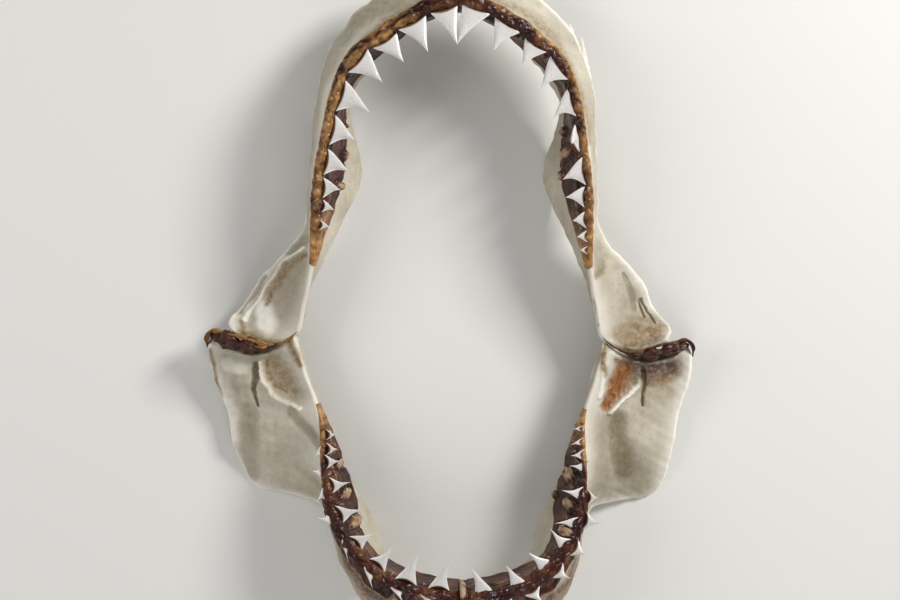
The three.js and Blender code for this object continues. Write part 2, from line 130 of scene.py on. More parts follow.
# The rounded triangle at each place, in its own plane: corners pulled in by the rounding, the two
# directions of the plane, and which way each of the three sides faces.
def cutsAt(jaw, places):
    places = np.asarray(places, float)
    last = len(jaw["ridge"]) - 1
    corners = np.stack([runAt(places, jaw[edge]) for edge in ("ridge", "border", "rear")], -2)
    ahead = np.minimum(places + nearby, last)
    along = unit(sum(runAt(ahead, jaw[edge]) - runAt(ahead - 2 * nearby, jaw[edge])
                     for edge in ("ridge", "border")))
    rounding = runAt(places, jaw["rounding"])
    middle = corners.mean(-2, keepdims=True)
    corners = corners + unit(middle - corners) * rounding[..., None]
    ridge, border, rear = (corners[..., i, :] for i in range(3))
    across = border - ridge
    across = unit(across - along * (across * along).sum(-1, keepdims=True))
    deep = rear - ridge
    deep = deep - along * (deep * along).sum(-1, keepdims=True)
    deep = unit(deep - across * (deep * across).sum(-1, keepdims=True))
    arm = corners - ridge[..., None, :]
    flat = np.stack([(arm * across[..., None, :]).sum(-1), (arm * deep[..., None, :]).sum(-1)], -1)
    edge = np.roll(flat, -1, axis=-2) - flat
    turn = np.arctan2(edge[..., 1], edge[..., 0]) - np.pi / 2
    for i in (1, 2):
        short = np.ceil((turn[..., i - 1] - turn[..., i]) / (2 * np.pi))
        turn[..., i] += 2 * np.pi * np.maximum(short, 0)
    return {
        "corners": corners, "across": across, "deep": deep, "along": along, "turn": turn,
        "rounding": rounding[..., 0], "endReach": runAt(places, jaw["endReach"])[..., 0],
        "bellies": np.stack([runAt(places, belly)[..., 0] for belly in jaw["bellies"]], -1),
    }


# The skin of a half jaw. Way 0..1, 2..3 and 4..5 are arcs round the ridge, border and rear corner,
# and 1..2, 3..4 and 5..6 the outer, back and inner side, bellied by 4 s (1 - s) times the belly.
def skin(cut, way, offset=0.0):
    rows = np.arange(len(cut["turn"]))[:, None]
    way = np.mod(np.broadcast_to(way, (len(rows), np.shape(way)[-1])), 6)
    slot = np.floor(way).astype(int)
    share = way - slot
    corner = slot // 2
    arc = slot % 2 == 0
    face = cut["turn"][rows, corner]
    before = cut["turn"][rows, (corner + 2) % 3] - 2 * np.pi * (corner == 0)
    turn = np.where(arc, before + (face - before) * share, face)
    start = cut["corners"][rows, corner]
    stop = cut["corners"][rows, (corner + 1) % 3]
    bulge = np.where(arc, 0, 4 * share * (1 - share))
    normal = (cut["across"][:, None] * np.cos(turn)[..., None]
              + cut["deep"][:, None] * np.sin(turn)[..., None])
    push = cut["bellies"][rows, corner] * bulge + cut["rounding"][:, None] + offset
    reach = cut["endReach"][:, None] * bulge * (corner < 2)
    point = start + (stop - start) * np.where(arc, 0, share)[..., None]
    return point + normal * push[..., None] + cut["along"][:, None] * reach[..., None], normal


# From the half's own place to where it lies: cut flat underneath, swung to its side, tilted a
# little, one shoulder raised, and bowed sideways by a power of the distance from the hinges.
def settle(points, side):
    x = points[..., 0] * side
    z = np.maximum(points[..., 2], jawSet["floorLift"])
    sx, sy = jawSet["shoulder"]
    spread = ((abs(x) - sx) ** 2 + (points[..., 1] - sy) ** 2) / jawSet["shoulderSpread"] ** 2
    y = points[..., 1] - jawSet["tilt"] * x + jawSet["shoulderLift"] * side * np.exp(-spread)
    above = y > jawSet["hingeLevel"]
    bow = np.where(above, jawSet["upperBow"], jawSet["lowerBow"])
    bow = bow * (abs(y - jawSet["hingeLevel"]) / jawSet["archReach"]) ** jawSet["bowPower"]
    return np.stack([x + bow - jawSet["centre"][0], y - jawSet["centre"][1],
                     z - jawSet["floorLift"]], -1)


# Even steps along a jaw: place numbers at equal lengths of its ridge and border together.
def evenPlaces(jaw, first, last, count):
    fine = np.linspace(first, last, evenSteps)
    middle = (runAt(fine, jaw["ridge"]) + runAt(fine, jaw["border"])) / 2
    length = np.concatenate([[0], np.cumsum(np.linalg.norm(np.diff(middle, axis=0), axis=1))])
    return np.interp(np.linspace(0, length[-1], count), length, fine)


# Distance along the ridge from the symphysis to each place.
def ridgeDistance(jaw, places):
    fine = np.linspace(0, len(jaw["ridge"]) - 1, ridgeSteps)
    steps = np.linalg.norm(np.diff(runAt(fine, jaw["ridge"]), axis=0), axis=1)
    return np.interp(places, fine, np.concatenate([[0], np.cumsum(steps)]))


# Smooth unevenness: a sum of waves of about one length that run in seeded random directions.
def uneven(points, size, seed):
    rng = np.random.default_rng(seed)
    total = np.zeros(points.shape[:-1])
    for _ in range(waveCount):
        way = unit(rng.normal(size=3)) * rng.uniform(*waveSpread) * 2 * np.pi / size
        total += np.sin(points @ way + rng.uniform(0, 2 * np.pi))
    return total / np.sqrt(waveCount / 2)


# How strongly a brush mark covers each point: half where the distance to its path is the width
# there, and falling as e to the minus that share to a power, which is how sharp the edge is.
def mark(points, path, sharp):
    path = np.asarray(path, float)  # each point is x, y, width
    best = np.full(points.shape[:-1], np.inf)
    for start, stop in zip(path[:-1], path[1:]):
        leg = stop[:2] - start[:2]
        t = np.clip(((points[..., :2] - start[:2]) @ leg) / (leg @ leg), 0, 1)
        gap = np.linalg.norm(points[..., :2] - (start[:2] + t[..., None] * leg), axis=-1)
        best = np.minimum(best, gap / (start[2] + t * (stop[2] - start[2])))
    return np.exp(-0.7 * best**sharp)  # e to the minus 0.7 is about half


# From 0 at low to 1 at high, level at both ends: 3 t squared - 2 t cubed.
def smooth(value, low, high):
    t = np.clip((value - low) / (high - low), 0, 1)
    return t * t * (3 - 2 * t)


# Joins closed tubes to one mesh. A tube is a grid of rings; each ring closes on itself and each
# end is closed by a fan to its middle. A tube whose volume is negative is turned to face outwards.
def makePiece(name, tubes, masks, material, slot, *nodes):
    points, faces, values, start = [], [], {key: [] for key in masks}, 0
    for tube, tubeMasks in tubes:
        rings, around = tube.shape[:2]
        flat = np.concatenate([tube.reshape(-1, 3), tube[[0, -1]].mean(1)])
        first = np.arange(around)
        second = (first + 1) % around
        rows = np.arange(rings - 1)[:, None] * around
        quads = np.stack([rows + first, rows + second, rows + second + around,
                          rows + first + around], -1).reshape(-1, 4)
        end = (rings - 1) * around
        fans = np.concatenate([  # the third corner twice, as they are triangles
            np.stack([np.full(around, end + around), second, first, first], -1),
            np.stack([np.full(around, end + around + 1), end + first, end + second, end + second], -1)])
        sides = np.concatenate([quads, fans])
        corner = flat[sides]
        middle = corner.mean(1) - flat.mean(0)
        volume = (middle * np.cross(corner[:, 2] - corner[:, 0], corner[:, 3] - corner[:, 1])).sum()
        if volume < 0:
            sides = np.concatenate([quads[:, ::-1], fans[:, [1, 0, 2, 2]]])
        points.append(flat)
        faces.append(sides + start)
        start += len(flat)
        for key in masks:
            grid = np.broadcast_to(tubeMasks.get(key, 0.0), (rings, around))
            ends = [grid[0].mean(), grid[-1].mean()]
            values[key].append(np.concatenate([grid.reshape(-1), ends]))
    points, faces = np.concatenate(points) / 1000, np.concatenate(faces)
    sizes = np.where(faces[:, 2] == faces[:, 3], 3, 4)
    corners = faces[np.arange(4)[None] < sizes[:, None]]
    mesh = bpy.data.meshes.new(name)
    mesh.vertices.add(len(points))
    mesh.vertices.foreach_set("co", points.reshape(-1))
    mesh.loops.add(len(corners))
    mesh.loops.foreach_set("vertex_index", corners.astype(np.int32))
    mesh.polygons.add(len(faces))
    starts = np.concatenate([[0], np.cumsum(sizes)[:-1]])
    mesh.polygons.foreach_set("loop_start", starts.astype(np.int32))
    mesh.polygons.foreach_set("use_smooth", np.ones(len(faces), bool))
    mesh.update(calc_edges=True)
    mesh.validate()
    for key in masks:
        layer = mesh.attributes.new(key, "FLOAT", "POINT")
        layer.data.foreach_set("value", np.concatenate(values[key]).astype(np.float32))
    piece = bpy.data.objects.new(name, mesh)
    bpy.context.scene.collection.objects.link(piece)
    piece.data.materials.append(material)
    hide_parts(*nodes)
    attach(piece, "root")


# From an sRGB hex colour to linear light, by the curve of that standard.
def linear(hexColour):
    parts = np.array([int(hexColour[i:i + 2], 16) for i in (1, 3, 5)]) / 255
    parts = np.where(parts <= 0.04045, parts / 12.92, ((parts + 0.055) / 1.055) ** 2.4)
    return (*parts.tolist(), 1.0)


# Adds a shader node; an input is given a value, a hex colour, or another node's output to link.
def addNode(tree, kind, inputs=None, **settings):
    node = tree.nodes.new("ShaderNode" + kind)
    for key, value in settings.items():
        setattr(node, key, value)
    for key, value in (inputs or {}).items():
        if isinstance(value, bpy.types.NodeSocket):
            tree.links.new(value, node.inputs[key])
        else:
            node.inputs[key].default_value = linear(value) if isinstance(value, str) else value
    return node


# A node material with nothing in it yet, and its Object coordinates.
def startMaterial(name):
    material = bpy.data.materials.new(name)
    material.use_nodes = True
    tree = material.node_tree
    tree.nodes.clear()
    place = addNode(tree, "TexCoord").outputs["Object"]
    return material, tree, place


# Settings of a Mix node for colours: 0 is the share of colour 7 over colour 6, output 2 the result.
mixColour = {"data_type": "RGBA"}

# Calcified cartilage, dried and bleached: a tight mosaic of tiny plates under a thin skin gives the
# eye a chalky, faintly pebbled bone white with cream rims and old oil stains. Its dark olive colour
# paints real specks, grime and grey membranes, and also painted shade in dimples, hollows and cracks.
cartilageLook = {
    "pale": "#C9C1AE", "grey": "#A49B87", "rim": "#F4EFE3", "stain": "#7C5A1A",
    "grimeAndShade": "#5F5230", "wine": "#43201A", "tissue": "#54290F", "tissueLight": "#BC8350",
    "cloud": 38, "speckle": 2.6, "blotch": 3.4, "mosaic": 1.6,  # mm
    "leastCover": {"stain": 0.4, "grimeAndShade": 0.75, "wine": 0.5}, "mostCover": 0.9, "mostSpecks": 0.3,
    "roughness": 0.5, "tissueRoughness": 0.3, "pebble": 0.6, "bump": 0.35, "bumpHeight": 0.0004,
}


def cartilageMaterial():
    look = cartilageLook
    material, tree, place = startMaterial("bleachedCartilage")
    mask = {key: addNode(tree, "Attribute", attribute_name=key).outputs["Fac"]
            for key in ("rim", "stain", "grimeAndShade", "wine", "tissue")}
    cloud = addNode(tree, "TexNoise", {
        "Vector": place, "Scale": 1000 / look["cloud"], "Detail": 5, "Roughness": 0.6})
    speckle = addNode(tree, "TexNoise", {
        "Vector": place, "Scale": 1000 / look["speckle"], "Detail": 3, "Roughness": 0.7})
    mosaic = addNode(tree, "TexVoronoi", {
        "Vector": place, "Scale": 1000 / look["mosaic"]}, feature="DISTANCE_TO_EDGE")
    cloudy = addNode(tree, "MapRange", {
        "Value": cloud.outputs["Fac"], "From Min": 0.35, "From Max": 0.65})
    base = addNode(tree, "Mix", {
        0: cloudy.outputs["Result"], 6: look["pale"], 7: look["grey"]}, **mixColour)
    specks = addNode(tree, "MapRange", {
        "Value": speckle.outputs["Fac"], "From Min": 0.5, "From Max": 0.85,
        "To Max": look["mostSpecks"]})
    specked = addNode(tree, "Mix", {
        0: specks.outputs["Result"], 6: base.outputs[2], 7: look["grimeAndShade"]}, **mixColour)
    rimmed = addNode(tree, "Mix", {
        0: mask["rim"], 6: specked.outputs[2], 7: look["rim"]}, **mixColour)
    blotch = addNode(tree, "TexNoise", {
        "Vector": place, "Scale": 1000 / look["blotch"], "Detail": 5, "Roughness": 0.7})
    colour = rimmed.outputs[2]
    for key, least in look["leastCover"].items():  # each stain is broken up, and ends on a ragged edge
        patchy = addNode(tree, "MapRange", {
            "Value": blotch.outputs["Fac"], "From Min": 0.36, "From Max": 0.64, "To Min": least})
        broken = addNode(tree, "Math", {
            0: mask[key], 1: patchy.outputs["Result"]}, operation="MULTIPLY")
        edged = addNode(tree, "MapRange", {
            "Value": broken.outputs[0], "From Min": 0.02, "From Max": 0.85,
            "To Max": look["mostCover"]})
        colour = addNode(tree, "Mix", {
            0: edged.outputs["Result"], 6: colour, 7: look[key]}, **mixColour).outputs[2]
    flesh = addNode(tree, "Mix", {
        0: blotch.outputs["Fac"], 6: look["tissue"], 7: look["tissueLight"]}, **mixColour)
    colour = addNode(tree, "Mix", {
        0: mask["tissue"], 6: colour, 7: flesh.outputs[2]}, **mixColour).outputs[2]
    pebbles = addNode(tree, "Math", {
        0: mosaic.outputs["Distance"], 1: look["pebble"], 2: speckle.outputs["Fac"]},
        operation="MULTIPLY_ADD")
    bump = addNode(tree, "Bump", {
        "Height": pebbles.outputs[0], "Strength": look["bump"], "Distance": look["bumpHeight"]})
    gloss = addNode(tree, "MapRange", {
        "Value": mask["tissue"], "To Min": look["roughness"], "To Max": look["tissueRoughness"]})
    shader = addNode(tree, "BsdfPrincipled", {
        "Base Color": colour, "Roughness": gloss.outputs["Result"], "IOR": 1.5,
        "Specular IOR Level": 0.35, "Subsurface Weight": 0.12, "Subsurface Scale": 0.002,
        "Normal": bump.outputs["Normal"]})
    addNode(tree, "OutputMaterial", {"Surface": shader.outputs[0]})
    return material


# Gum and dental membrane, dried to a hard film: dark and a little glossy, golden where it is thin,
# tan and pinkish over the buds of new teeth, with short highlights on its wrinkles. Its creases and
# the moats round its buds are painted dark as shade, its small beads pale as painted glints, and its
# fine folds more golden on their crests as painted light and less in their hollows as painted shade.
gumLook = {
    "dark": "#2F130E", "brown": "#542919", "amberDeep": "#70491F", "amber": "#BC8F58",
    "budDeep": "#8A6042", "budAndGlint": "#D6BC98", "mottle": 14, "grain": 4, "wrinkle": 2.2,  # mm
    "drawnOut": 0.5, "patchGold": 0.5, "grainRelief": 1.5, "roughness": 0.34, "bump": 0.2,
    "bumpHeight": 0.0007,
}


def gumMaterial():
    look = gumLook
    material, tree, place = startMaterial("driedGum")
    lip, budAndGlint, shadedCrease, front = (addNode(tree, "Attribute", attribute_name=key).outputs["Fac"]
                               for key in ("lip", "budAndGlint", "shadedCrease", "front"))
    drawn = addNode(tree, "Mapping", {"Vector": place, "Scale": (1, 1, look["drawnOut"])})
    mottle, grain, wrinkle = (addNode(tree, "TexNoise", {
        "Vector": drawn.outputs[0], "Scale": 1000 / look[key], "Detail": 3, "Roughness": 0.5})
        for key in ("mottle", "grain", "wrinkle"))
    patches = addNode(tree, "MapRange", {
        "Value": mottle.outputs["Fac"], "From Min": 0.4, "From Max": 0.65})
    grains = addNode(tree, "MapRange", {
        "Value": grain.outputs["Fac"], "From Min": 0.3, "From Max": 0.7})
    base = addNode(tree, "Mix", {
        0: patches.outputs["Result"], 6: look["dark"], 7: look["brown"]}, **mixColour)
    gold = addNode(tree, "Mix", {
        0: grains.outputs["Result"], 6: look["amberDeep"], 7: look["amber"]}, **mixColour)
    budTan = addNode(tree, "Mix", {
        0: grains.outputs["Result"], 6: look["budDeep"], 7: look["budAndGlint"]}, **mixColour)
    thinned = addNode(tree, "Math", {
        0: patches.outputs["Result"], 1: look["patchGold"], 2: lip}, operation="MULTIPLY_ADD")
    golden = addNode(tree, "MapRange", {
        "Value": thinned.outputs[0], "From Min": 0.35, "From Max": 1.15})
    colour = base.outputs[2]
    # The dark colour laid on last is painted shade in the creases and moats; the pale bud colour also
    # paints glints on the small beads.
    for amount, over in ((golden.outputs["Result"], gold.outputs[2]), (budAndGlint, budTan.outputs[2]),
                         (shadedCrease, look["dark"])):
        colour = addNode(tree, "Mix", {0: amount, 6: colour, 7: over}, **mixColour).outputs[2]
    relief = addNode(tree, "Math", {
        0: grain.outputs["Fac"], 1: look["grainRelief"], 2: wrinkle.outputs["Fac"]},
        operation="MULTIPLY_ADD")
    calmed = addNode(tree, "Math", {0: relief.outputs[0], 1: front}, operation="MULTIPLY")
    bump = addNode(tree, "Bump", {
        "Height": calmed.outputs[0], "Strength": look["bump"], "Distance": look["bumpHeight"]})
    shader = addNode(tree, "BsdfPrincipled", {
        "Base Color": colour, "Roughness": look["roughness"], "IOR": 1.45,
        "Specular IOR Level": 0.27, "Coat Weight": 0.12, "Coat Roughness": 0.15,
        "Subsurface Weight": 0.05, "Subsurface Scale": 0.002, "Normal": bump.outputs["Normal"]})
    addNode(tree, "OutputMaterial", {"Surface": shader.outputs[0]})
    return material


# Enameloid on a dentine core: cold white, smooth and faintly see-through towards the edges, with
# fine lengthwise streaks; the root is porous, tan and dull. The crown is painted whiter towards both
# edges, partly the enamel's own paler edge and partly painted highlight.
toothLook = {
    "crown": "#D9D5D1", "edge": "#F7F5F2", "root": "#6B4A2E", "shade": "#B5ADA8", "streak": 1.4,  # mm
    "mostStreak": 0.45, "roughness": 0.26, "rootRoughness": 0.6, "bump": 0.12, "bumpHeight": 0.0003,
}


def toothMaterial():
    look = toothLook
    material, tree, place = startMaterial("sharkEnamel")
    root = addNode(tree, "Attribute", attribute_name="root").outputs["Fac"]
    edge = addNode(tree, "Attribute", attribute_name="edge").outputs["Fac"]
    streak = addNode(tree, "TexNoise", {
        "Vector": place, "Scale": 1000 / look["streak"], "Detail": 3})
    # The crown turns whiter at its edges: partly the enamel's own colour, partly painted highlight.
    crown = addNode(tree, "Mix", {0: edge, 6: look["crown"], 7: look["edge"]}, **mixColour)
    faint = addNode(tree, "MapRange", {
        "Value": streak.outputs["Fac"], "From Min": 0.4, "From Max": 0.8,
        "To Max": look["mostStreak"]})
    streaked = addNode(tree, "Mix", {
        0: faint.outputs["Result"], 6: crown.outputs[2], 7: look["shade"]}, **mixColour)
    rooted = addNode(tree, "Mix", {
        0: root, 6: streaked.outputs[2], 7: look["root"]}, **mixColour)
    rough = addNode(tree, "MapRange", {
        "Value": root, "To Min": look["roughness"], "To Max": look["rootRoughness"]})
    bump = addNode(tree, "Bump", {
        "Height": streak.outputs["Fac"], "Strength": look["bump"], "Distance": look["bumpHeight"]})
    shader = addNode(tree, "BsdfPrincipled", {
        "Base Color": rooted.outputs[2], "Roughness": rough.outputs["Result"], "IOR": 1.6,
        "Subsurface Weight": 0.1, "Subsurface Scale": 0.001, "Normal": bump.outputs["Normal"]})
    addNode(tree, "OutputMaterial", {"Surface": shader.outputs[0]})
    return material


# Hinge ligament and skin, dried in the sun: stringy, dark as treacle where it is thick and honey
# coloured where it is thin, with a varnished shine.
ligamentLook = {
    "dark": "#220E0B", "brown": "#5A2B1A", "honey": "#9A6F38", "fibre": 1.1, "blotch": 6,  # mm
    "drawnOut": 0.25, "roughness": 0.4, "bump": 0.55, "bumpHeight": 0.0008,
}


def ligamentMaterial():
    look = ligamentLook
    material, tree, place = startMaterial("driedLigament")
    honey = addNode(tree, "Attribute", attribute_name="honey").outputs["Fac"]
    stringy = addNode(tree, "Mapping", {
        "Vector": place, "Scale": (look["drawnOut"], 1, 1)})
    fibre = addNode(tree, "TexNoise", {
        "Vector": stringy.outputs[0], "Scale": 1000 / look["fibre"], "Detail": 4})
    blotch = addNode(tree, "TexNoise", {
        "Vector": place, "Scale": 1000 / look["blotch"], "Detail": 4})
    base = addNode(tree, "Mix", {
        0: blotch.outputs["Fac"], 6: look["dark"], 7: look["brown"]}, **mixColour)
    mixed = addNode(tree, "Math", {
        0: honey, 1: blotch.outputs["Fac"], 2: honey}, operation="MULTIPLY_ADD")
    amount = addNode(tree, "MapRange", {
        "Value": mixed.outputs[0], "From Min": 0.4, "From Max": 1.3})
    colour = addNode(tree, "Mix", {
        0: amount.outputs["Result"], 6: base.outputs[2], 7: look["honey"]}, **mixColour)
    bump = addNode(tree, "Bump", {
        "Height": fibre.outputs["Fac"], "Strength": look["bump"], "Distance": look["bumpHeight"]})
    shader = addNode(tree, "BsdfPrincipled", {
        "Base Color": colour.outputs[2], "Roughness": look["roughness"], "IOR": 1.5,
        "Specular IOR Level": 0.35, "Coat Weight": 0.15, "Coat Roughness": 0.15,
        "Normal": bump.outputs["Normal"]})
    addNode(tree, "OutputMaterial", {"Surface": shader.outputs[0]})
    return material


bone, gumSkin, enamel, sinew = cartilageMaterial(), gumMaterial(), toothMaterial(), ligamentMaterial()
print("materials made")

cartilageShape = {
    "rows": 470, "columns": (12, 104, 12, 30, 12, 26),  # ridge, outer, border, back, rear, inner
    "places": (0.06, 0.12),  # left free at the pad and at the hinge
    "swell": 0.45, "swellSize": 30, "pit": 0.16, "pitSize": 8, "endRound": 2.0, "endRings": 6,
    "underGum": 0.2, "gumWay": 0.2, "gumSide": (0.9, 1.4),  # sunk under the gum, where, and its fade
    "rimBead": 0.5, "rimWay": 2.25, "rimWidth": (0.4, 0.3), "rimPaint": 0.95,
    "ridgePaint": 0.6, "ridgeWay": 0.55, "ridgeWidth": 0.6,
    "markEdge": {"rim": 4, "stain": 2, "grimeAndShade": 4, "wine": 2, "tissue": 4},  # more is sharper
    "facing": (0.05, 0.45), "wobble": 0.5, "wobbleSize": 21, "fray": 0.16, "fraySize": 4,
    "rimLoss": 0.8, "fold": 0.9, "foldRun": (1.3, 0.35), "foldWaver": 1.7, "foldSize": 9,
    "tuck": 1.5, "tuckPlaces": (0.7, 0.1),  # before the hinge end
}
# Marks on each half, seen from above: what it paints, how strongly, how high it stands (mm), and
# its path, each point x, y and width. The dark olive marks are partly real grime and membranes and
# partly painted shade in dimples, hollows and cracks.
marks = {
    ("upper", -1): [
        ("stain", 0.95, -0.9, [(-98, 34, 2), (-110, 25, 3), (-120.5, 11, 3.4), (-124, 2, 2)]),
        ("stain", 0.32, -0.4, [(-100, 27, 5), (-111, 15, 8), (-117, 3, 7)]),
        ("stain", 0.6, 0, [(-21, 201, 2), (-43, 187, 2.2), (-57.5, 174, 2.2), (-68.5, 157.5, 2.2),
                           (-76.5, 140, 2), (-81.5, 126, 1.4)]),
        # Darker along the outer strip of the arch.
        ("grimeAndShade", 0.36, 0, [(-18, 209, 8), (-54, 195, 7), (-81, 168, 6.5), (-92.5, 135, 5), (-96, 98, 4),
                            (-97, 68, 3)]),
        ("grimeAndShade", 0.36, -1.6, [(-97, 46, 2.6), (-109, 36.5, 2.4)]),
        ("grimeAndShade", 0.36, -1.6, [(-127, 19.5, 2.4), (-136, 8, 3), (-143, -4, 2.4)]),
        ("rim", 0.9, 0.9, [(-97.5, 39.5, 0.8), (-112, 29, 1), (-124.5, 13, 1.1), (-133, -1, 1.1),
                           (-139, -9, 1.4)]),
        # Painted highlight: a paler patch on the raised lower bulge of the plate.
        ("rim", 0.8, 0.7, [(-126, -2, 6), (-124, -12, 7)]),
        ("stain", 1.0, -0.8, [(-142, -17, 2), (-129, -22, 3), (-117, -26, 3), (-108, -24, 1.6)]),
        ("stain", 0.8, 0.6, [(-141, -10, 1), (-138, -19, 1.4)]),
    ],
    ("upper", 1): [
        ("stain", 0.5, -0.9, [(106, 34, 1.6), (103, 24, 3), (99, 20, 2)]),
        ("stain", 0.7, 0, [(25, 203, 3), (48, 194, 3.4), (64, 182, 3.6), (75, 163, 3.4), (85.5, 144, 3),
                           (90, 127, 2.2), (93, 109, 1.4)]),
        ("grimeAndShade", 0.3, -0.4, [(99, 40, 4), (101, 24, 5)]),
        ("grimeAndShade", 0.4, -0.8, [(117, 20, 1.5), (122, 8, 2.2), (124, -2, 1.5)]),
        # Painted shade in two cracks, which are also cut in.
        ("grimeAndShade", 1.0, -1.2, [(128.5, 5, 0.8), (131, -7, 0.7)]),
        ("grimeAndShade", 1.0, -1.2, [(130, 5, 0.9), (134.5, -3, 0.7), (139, -11, 0.7)]),
        ("grimeAndShade", 0.42, -1.4, [(93, 2, 2.4), (97, -12, 2.4)]),
        ("stain", 1.0, -0.5, [(141, -14, 5), (129, -19, 8), (118, -24, 7)]),
        ("wine", 0.7, 0.3, [(142, -22, 3), (130, -26, 3), (119, -28, 2)]),
        ("stain", 0.75, 0.3, [(138, -9, 4.5), (124, -12, 6), (113, -19, 5)]),
    ],
    ("lower", -1): [
        ("rim", 1.0, 2.2, [(-129, -38, 1.3), (-127, -49, 1.5), (-120, -58, 1.5), (-109, -66, 1.5),
                           (-101, -69, 1.2)]),
        ("stain", 0.8, -2.4, [(-119, -38, 7), (-114, -48, 9), (-106, -58, 7)]),
        ("stain", 1.0, -0.6, [(-124, -37, 2), (-122.5, -47, 2.2), (-117, -54, 1.8), (-107, -60, 1.5)]),
        ("stain", 1.0, 0.0, [(-109, -21, 2.6), (-104, -32, 2.8), (-101, -40, 1.6)]),
        # Painted shade in a crack, which is also cut in, broadest at its top.
        ("grimeAndShade", 0.95, -1.9, [(-131, -39, 2.2), (-131.5, -48, 2.6), (-133, -56, 1.4),
                               (-130, -66, 0.8)]),
        # Painted shade: in the long dimple near the outer border, and along a shallow diagonal hollow.
        ("grimeAndShade", 0.3, -1.8, [(-137, -72, 6), (-138, -96, 7), (-136, -114, 6)]),
        ("grimeAndShade", 0.42, -1.2, [(-108, -70, 2.5), (-96, -82, 4), (-88, -92, 3)]),
        ("stain", 0.8, 0.0, [(-161, -30, 1.4), (-158, -50, 1.1), (-155, -62, 0.8)]),
        ("rim", 0.5, 0.6, [(-150, -40, 5), (-141, -42, 4)]),
        ("wine", 0.9, 0, [(-83, -141, 1), (-68.5, -169, 2), (-62, -179.5, 2.6), (-51, -191, 3),
                          (-30, -203, 3)]),
        ("stain", 0.8, 0, [(-77, -158, 3), (-70, -170, 4), (-64, -181, 5), (-53, -193, 6),
                           (-30, -206, 7)]),
    ],
    ("lower", 1): [
        ("tissue", 1.0, -2.2, [(117, -43, 6), (113, -54, 7.5), (105, -67, 3.2)]),
        ("rim", 0.9, 2.2, [(127, -41, 1.4), (126, -52, 1.5), (120, -61, 1.5), (107, -71, 1.2)]),
        ("rim", 0.7, 1.2, [(105, -33, 2), (102, -44, 2), (100, -60, 1.5)]),
        ("stain", 1.0, -0.3, [(104, -26, 3), (101, -38, 2.2), (103, -46, 1.6)]),
        ("stain", 0.9, 0.4, [(112, -36, 2), (121, -38, 2.4), (124, -50, 1.4)]),
        # Painted shade in a crack, which is also cut in.
        ("grimeAndShade", 1.0, -1.9, [(131, -43, 1.5), (130.5, -54, 1.2), (129, -67, 0.8)]),
        ("wine", 1.0, -0.2, [(121, -39, 4), (134, -43, 7), (151, -40, 5)]),
        ("stain", 0.8, 0.0, [(130, -47, 4), (142, -50, 6), (151, -44, 4)]),
        ("stain", 0.35, 0.0, [(134, -60, 5), (146, -58, 5)]),
        ("wine", 0.8, 0, [(90, -150, 1), (86, -166, 2), (78, -182.5, 2.6), (62, -198, 3),
                          (44, -206, 3)]),
        ("stain", 0.8, 0, [(91, -153, 3), (88, -168, 4), (80, -185, 5), (63.5, -200.5, 6),
                           (44, -208, 7)]),
        # Painted shade: a broad, soft band of shade over the sunken middle of the lower plate.
        ("grimeAndShade", 0.75, -2.0, [(113, -78, 6), (114, -92, 8), (119, -112, 8)]),
        ("grimeAndShade", 0.38, -0.8, [(108, -84, 12), (114, -104, 16), (126, -116, 13)]),
    ],
}
splinters = [  # flakes that stand off the border
    {"foot": (85.5, 154, 30), "tip": (74.5, 187, 33), "width": 6.5, "thickness": 2.2},
    {"foot": (88.5, 150, 30), "tip": (83, 178, 32), "width": 5, "thickness": 2},
]


# The ways round a ring: each of the six parts in its own number of even steps.
def ringWays(counts):
    return np.concatenate([i + np.arange(n) / n for i, n in enumerate(counts)])


# Each half has random numbers of its own.
def seedOf(level, side):
    return 10 * (side + 2) + (3 if level == "lower" else 0)


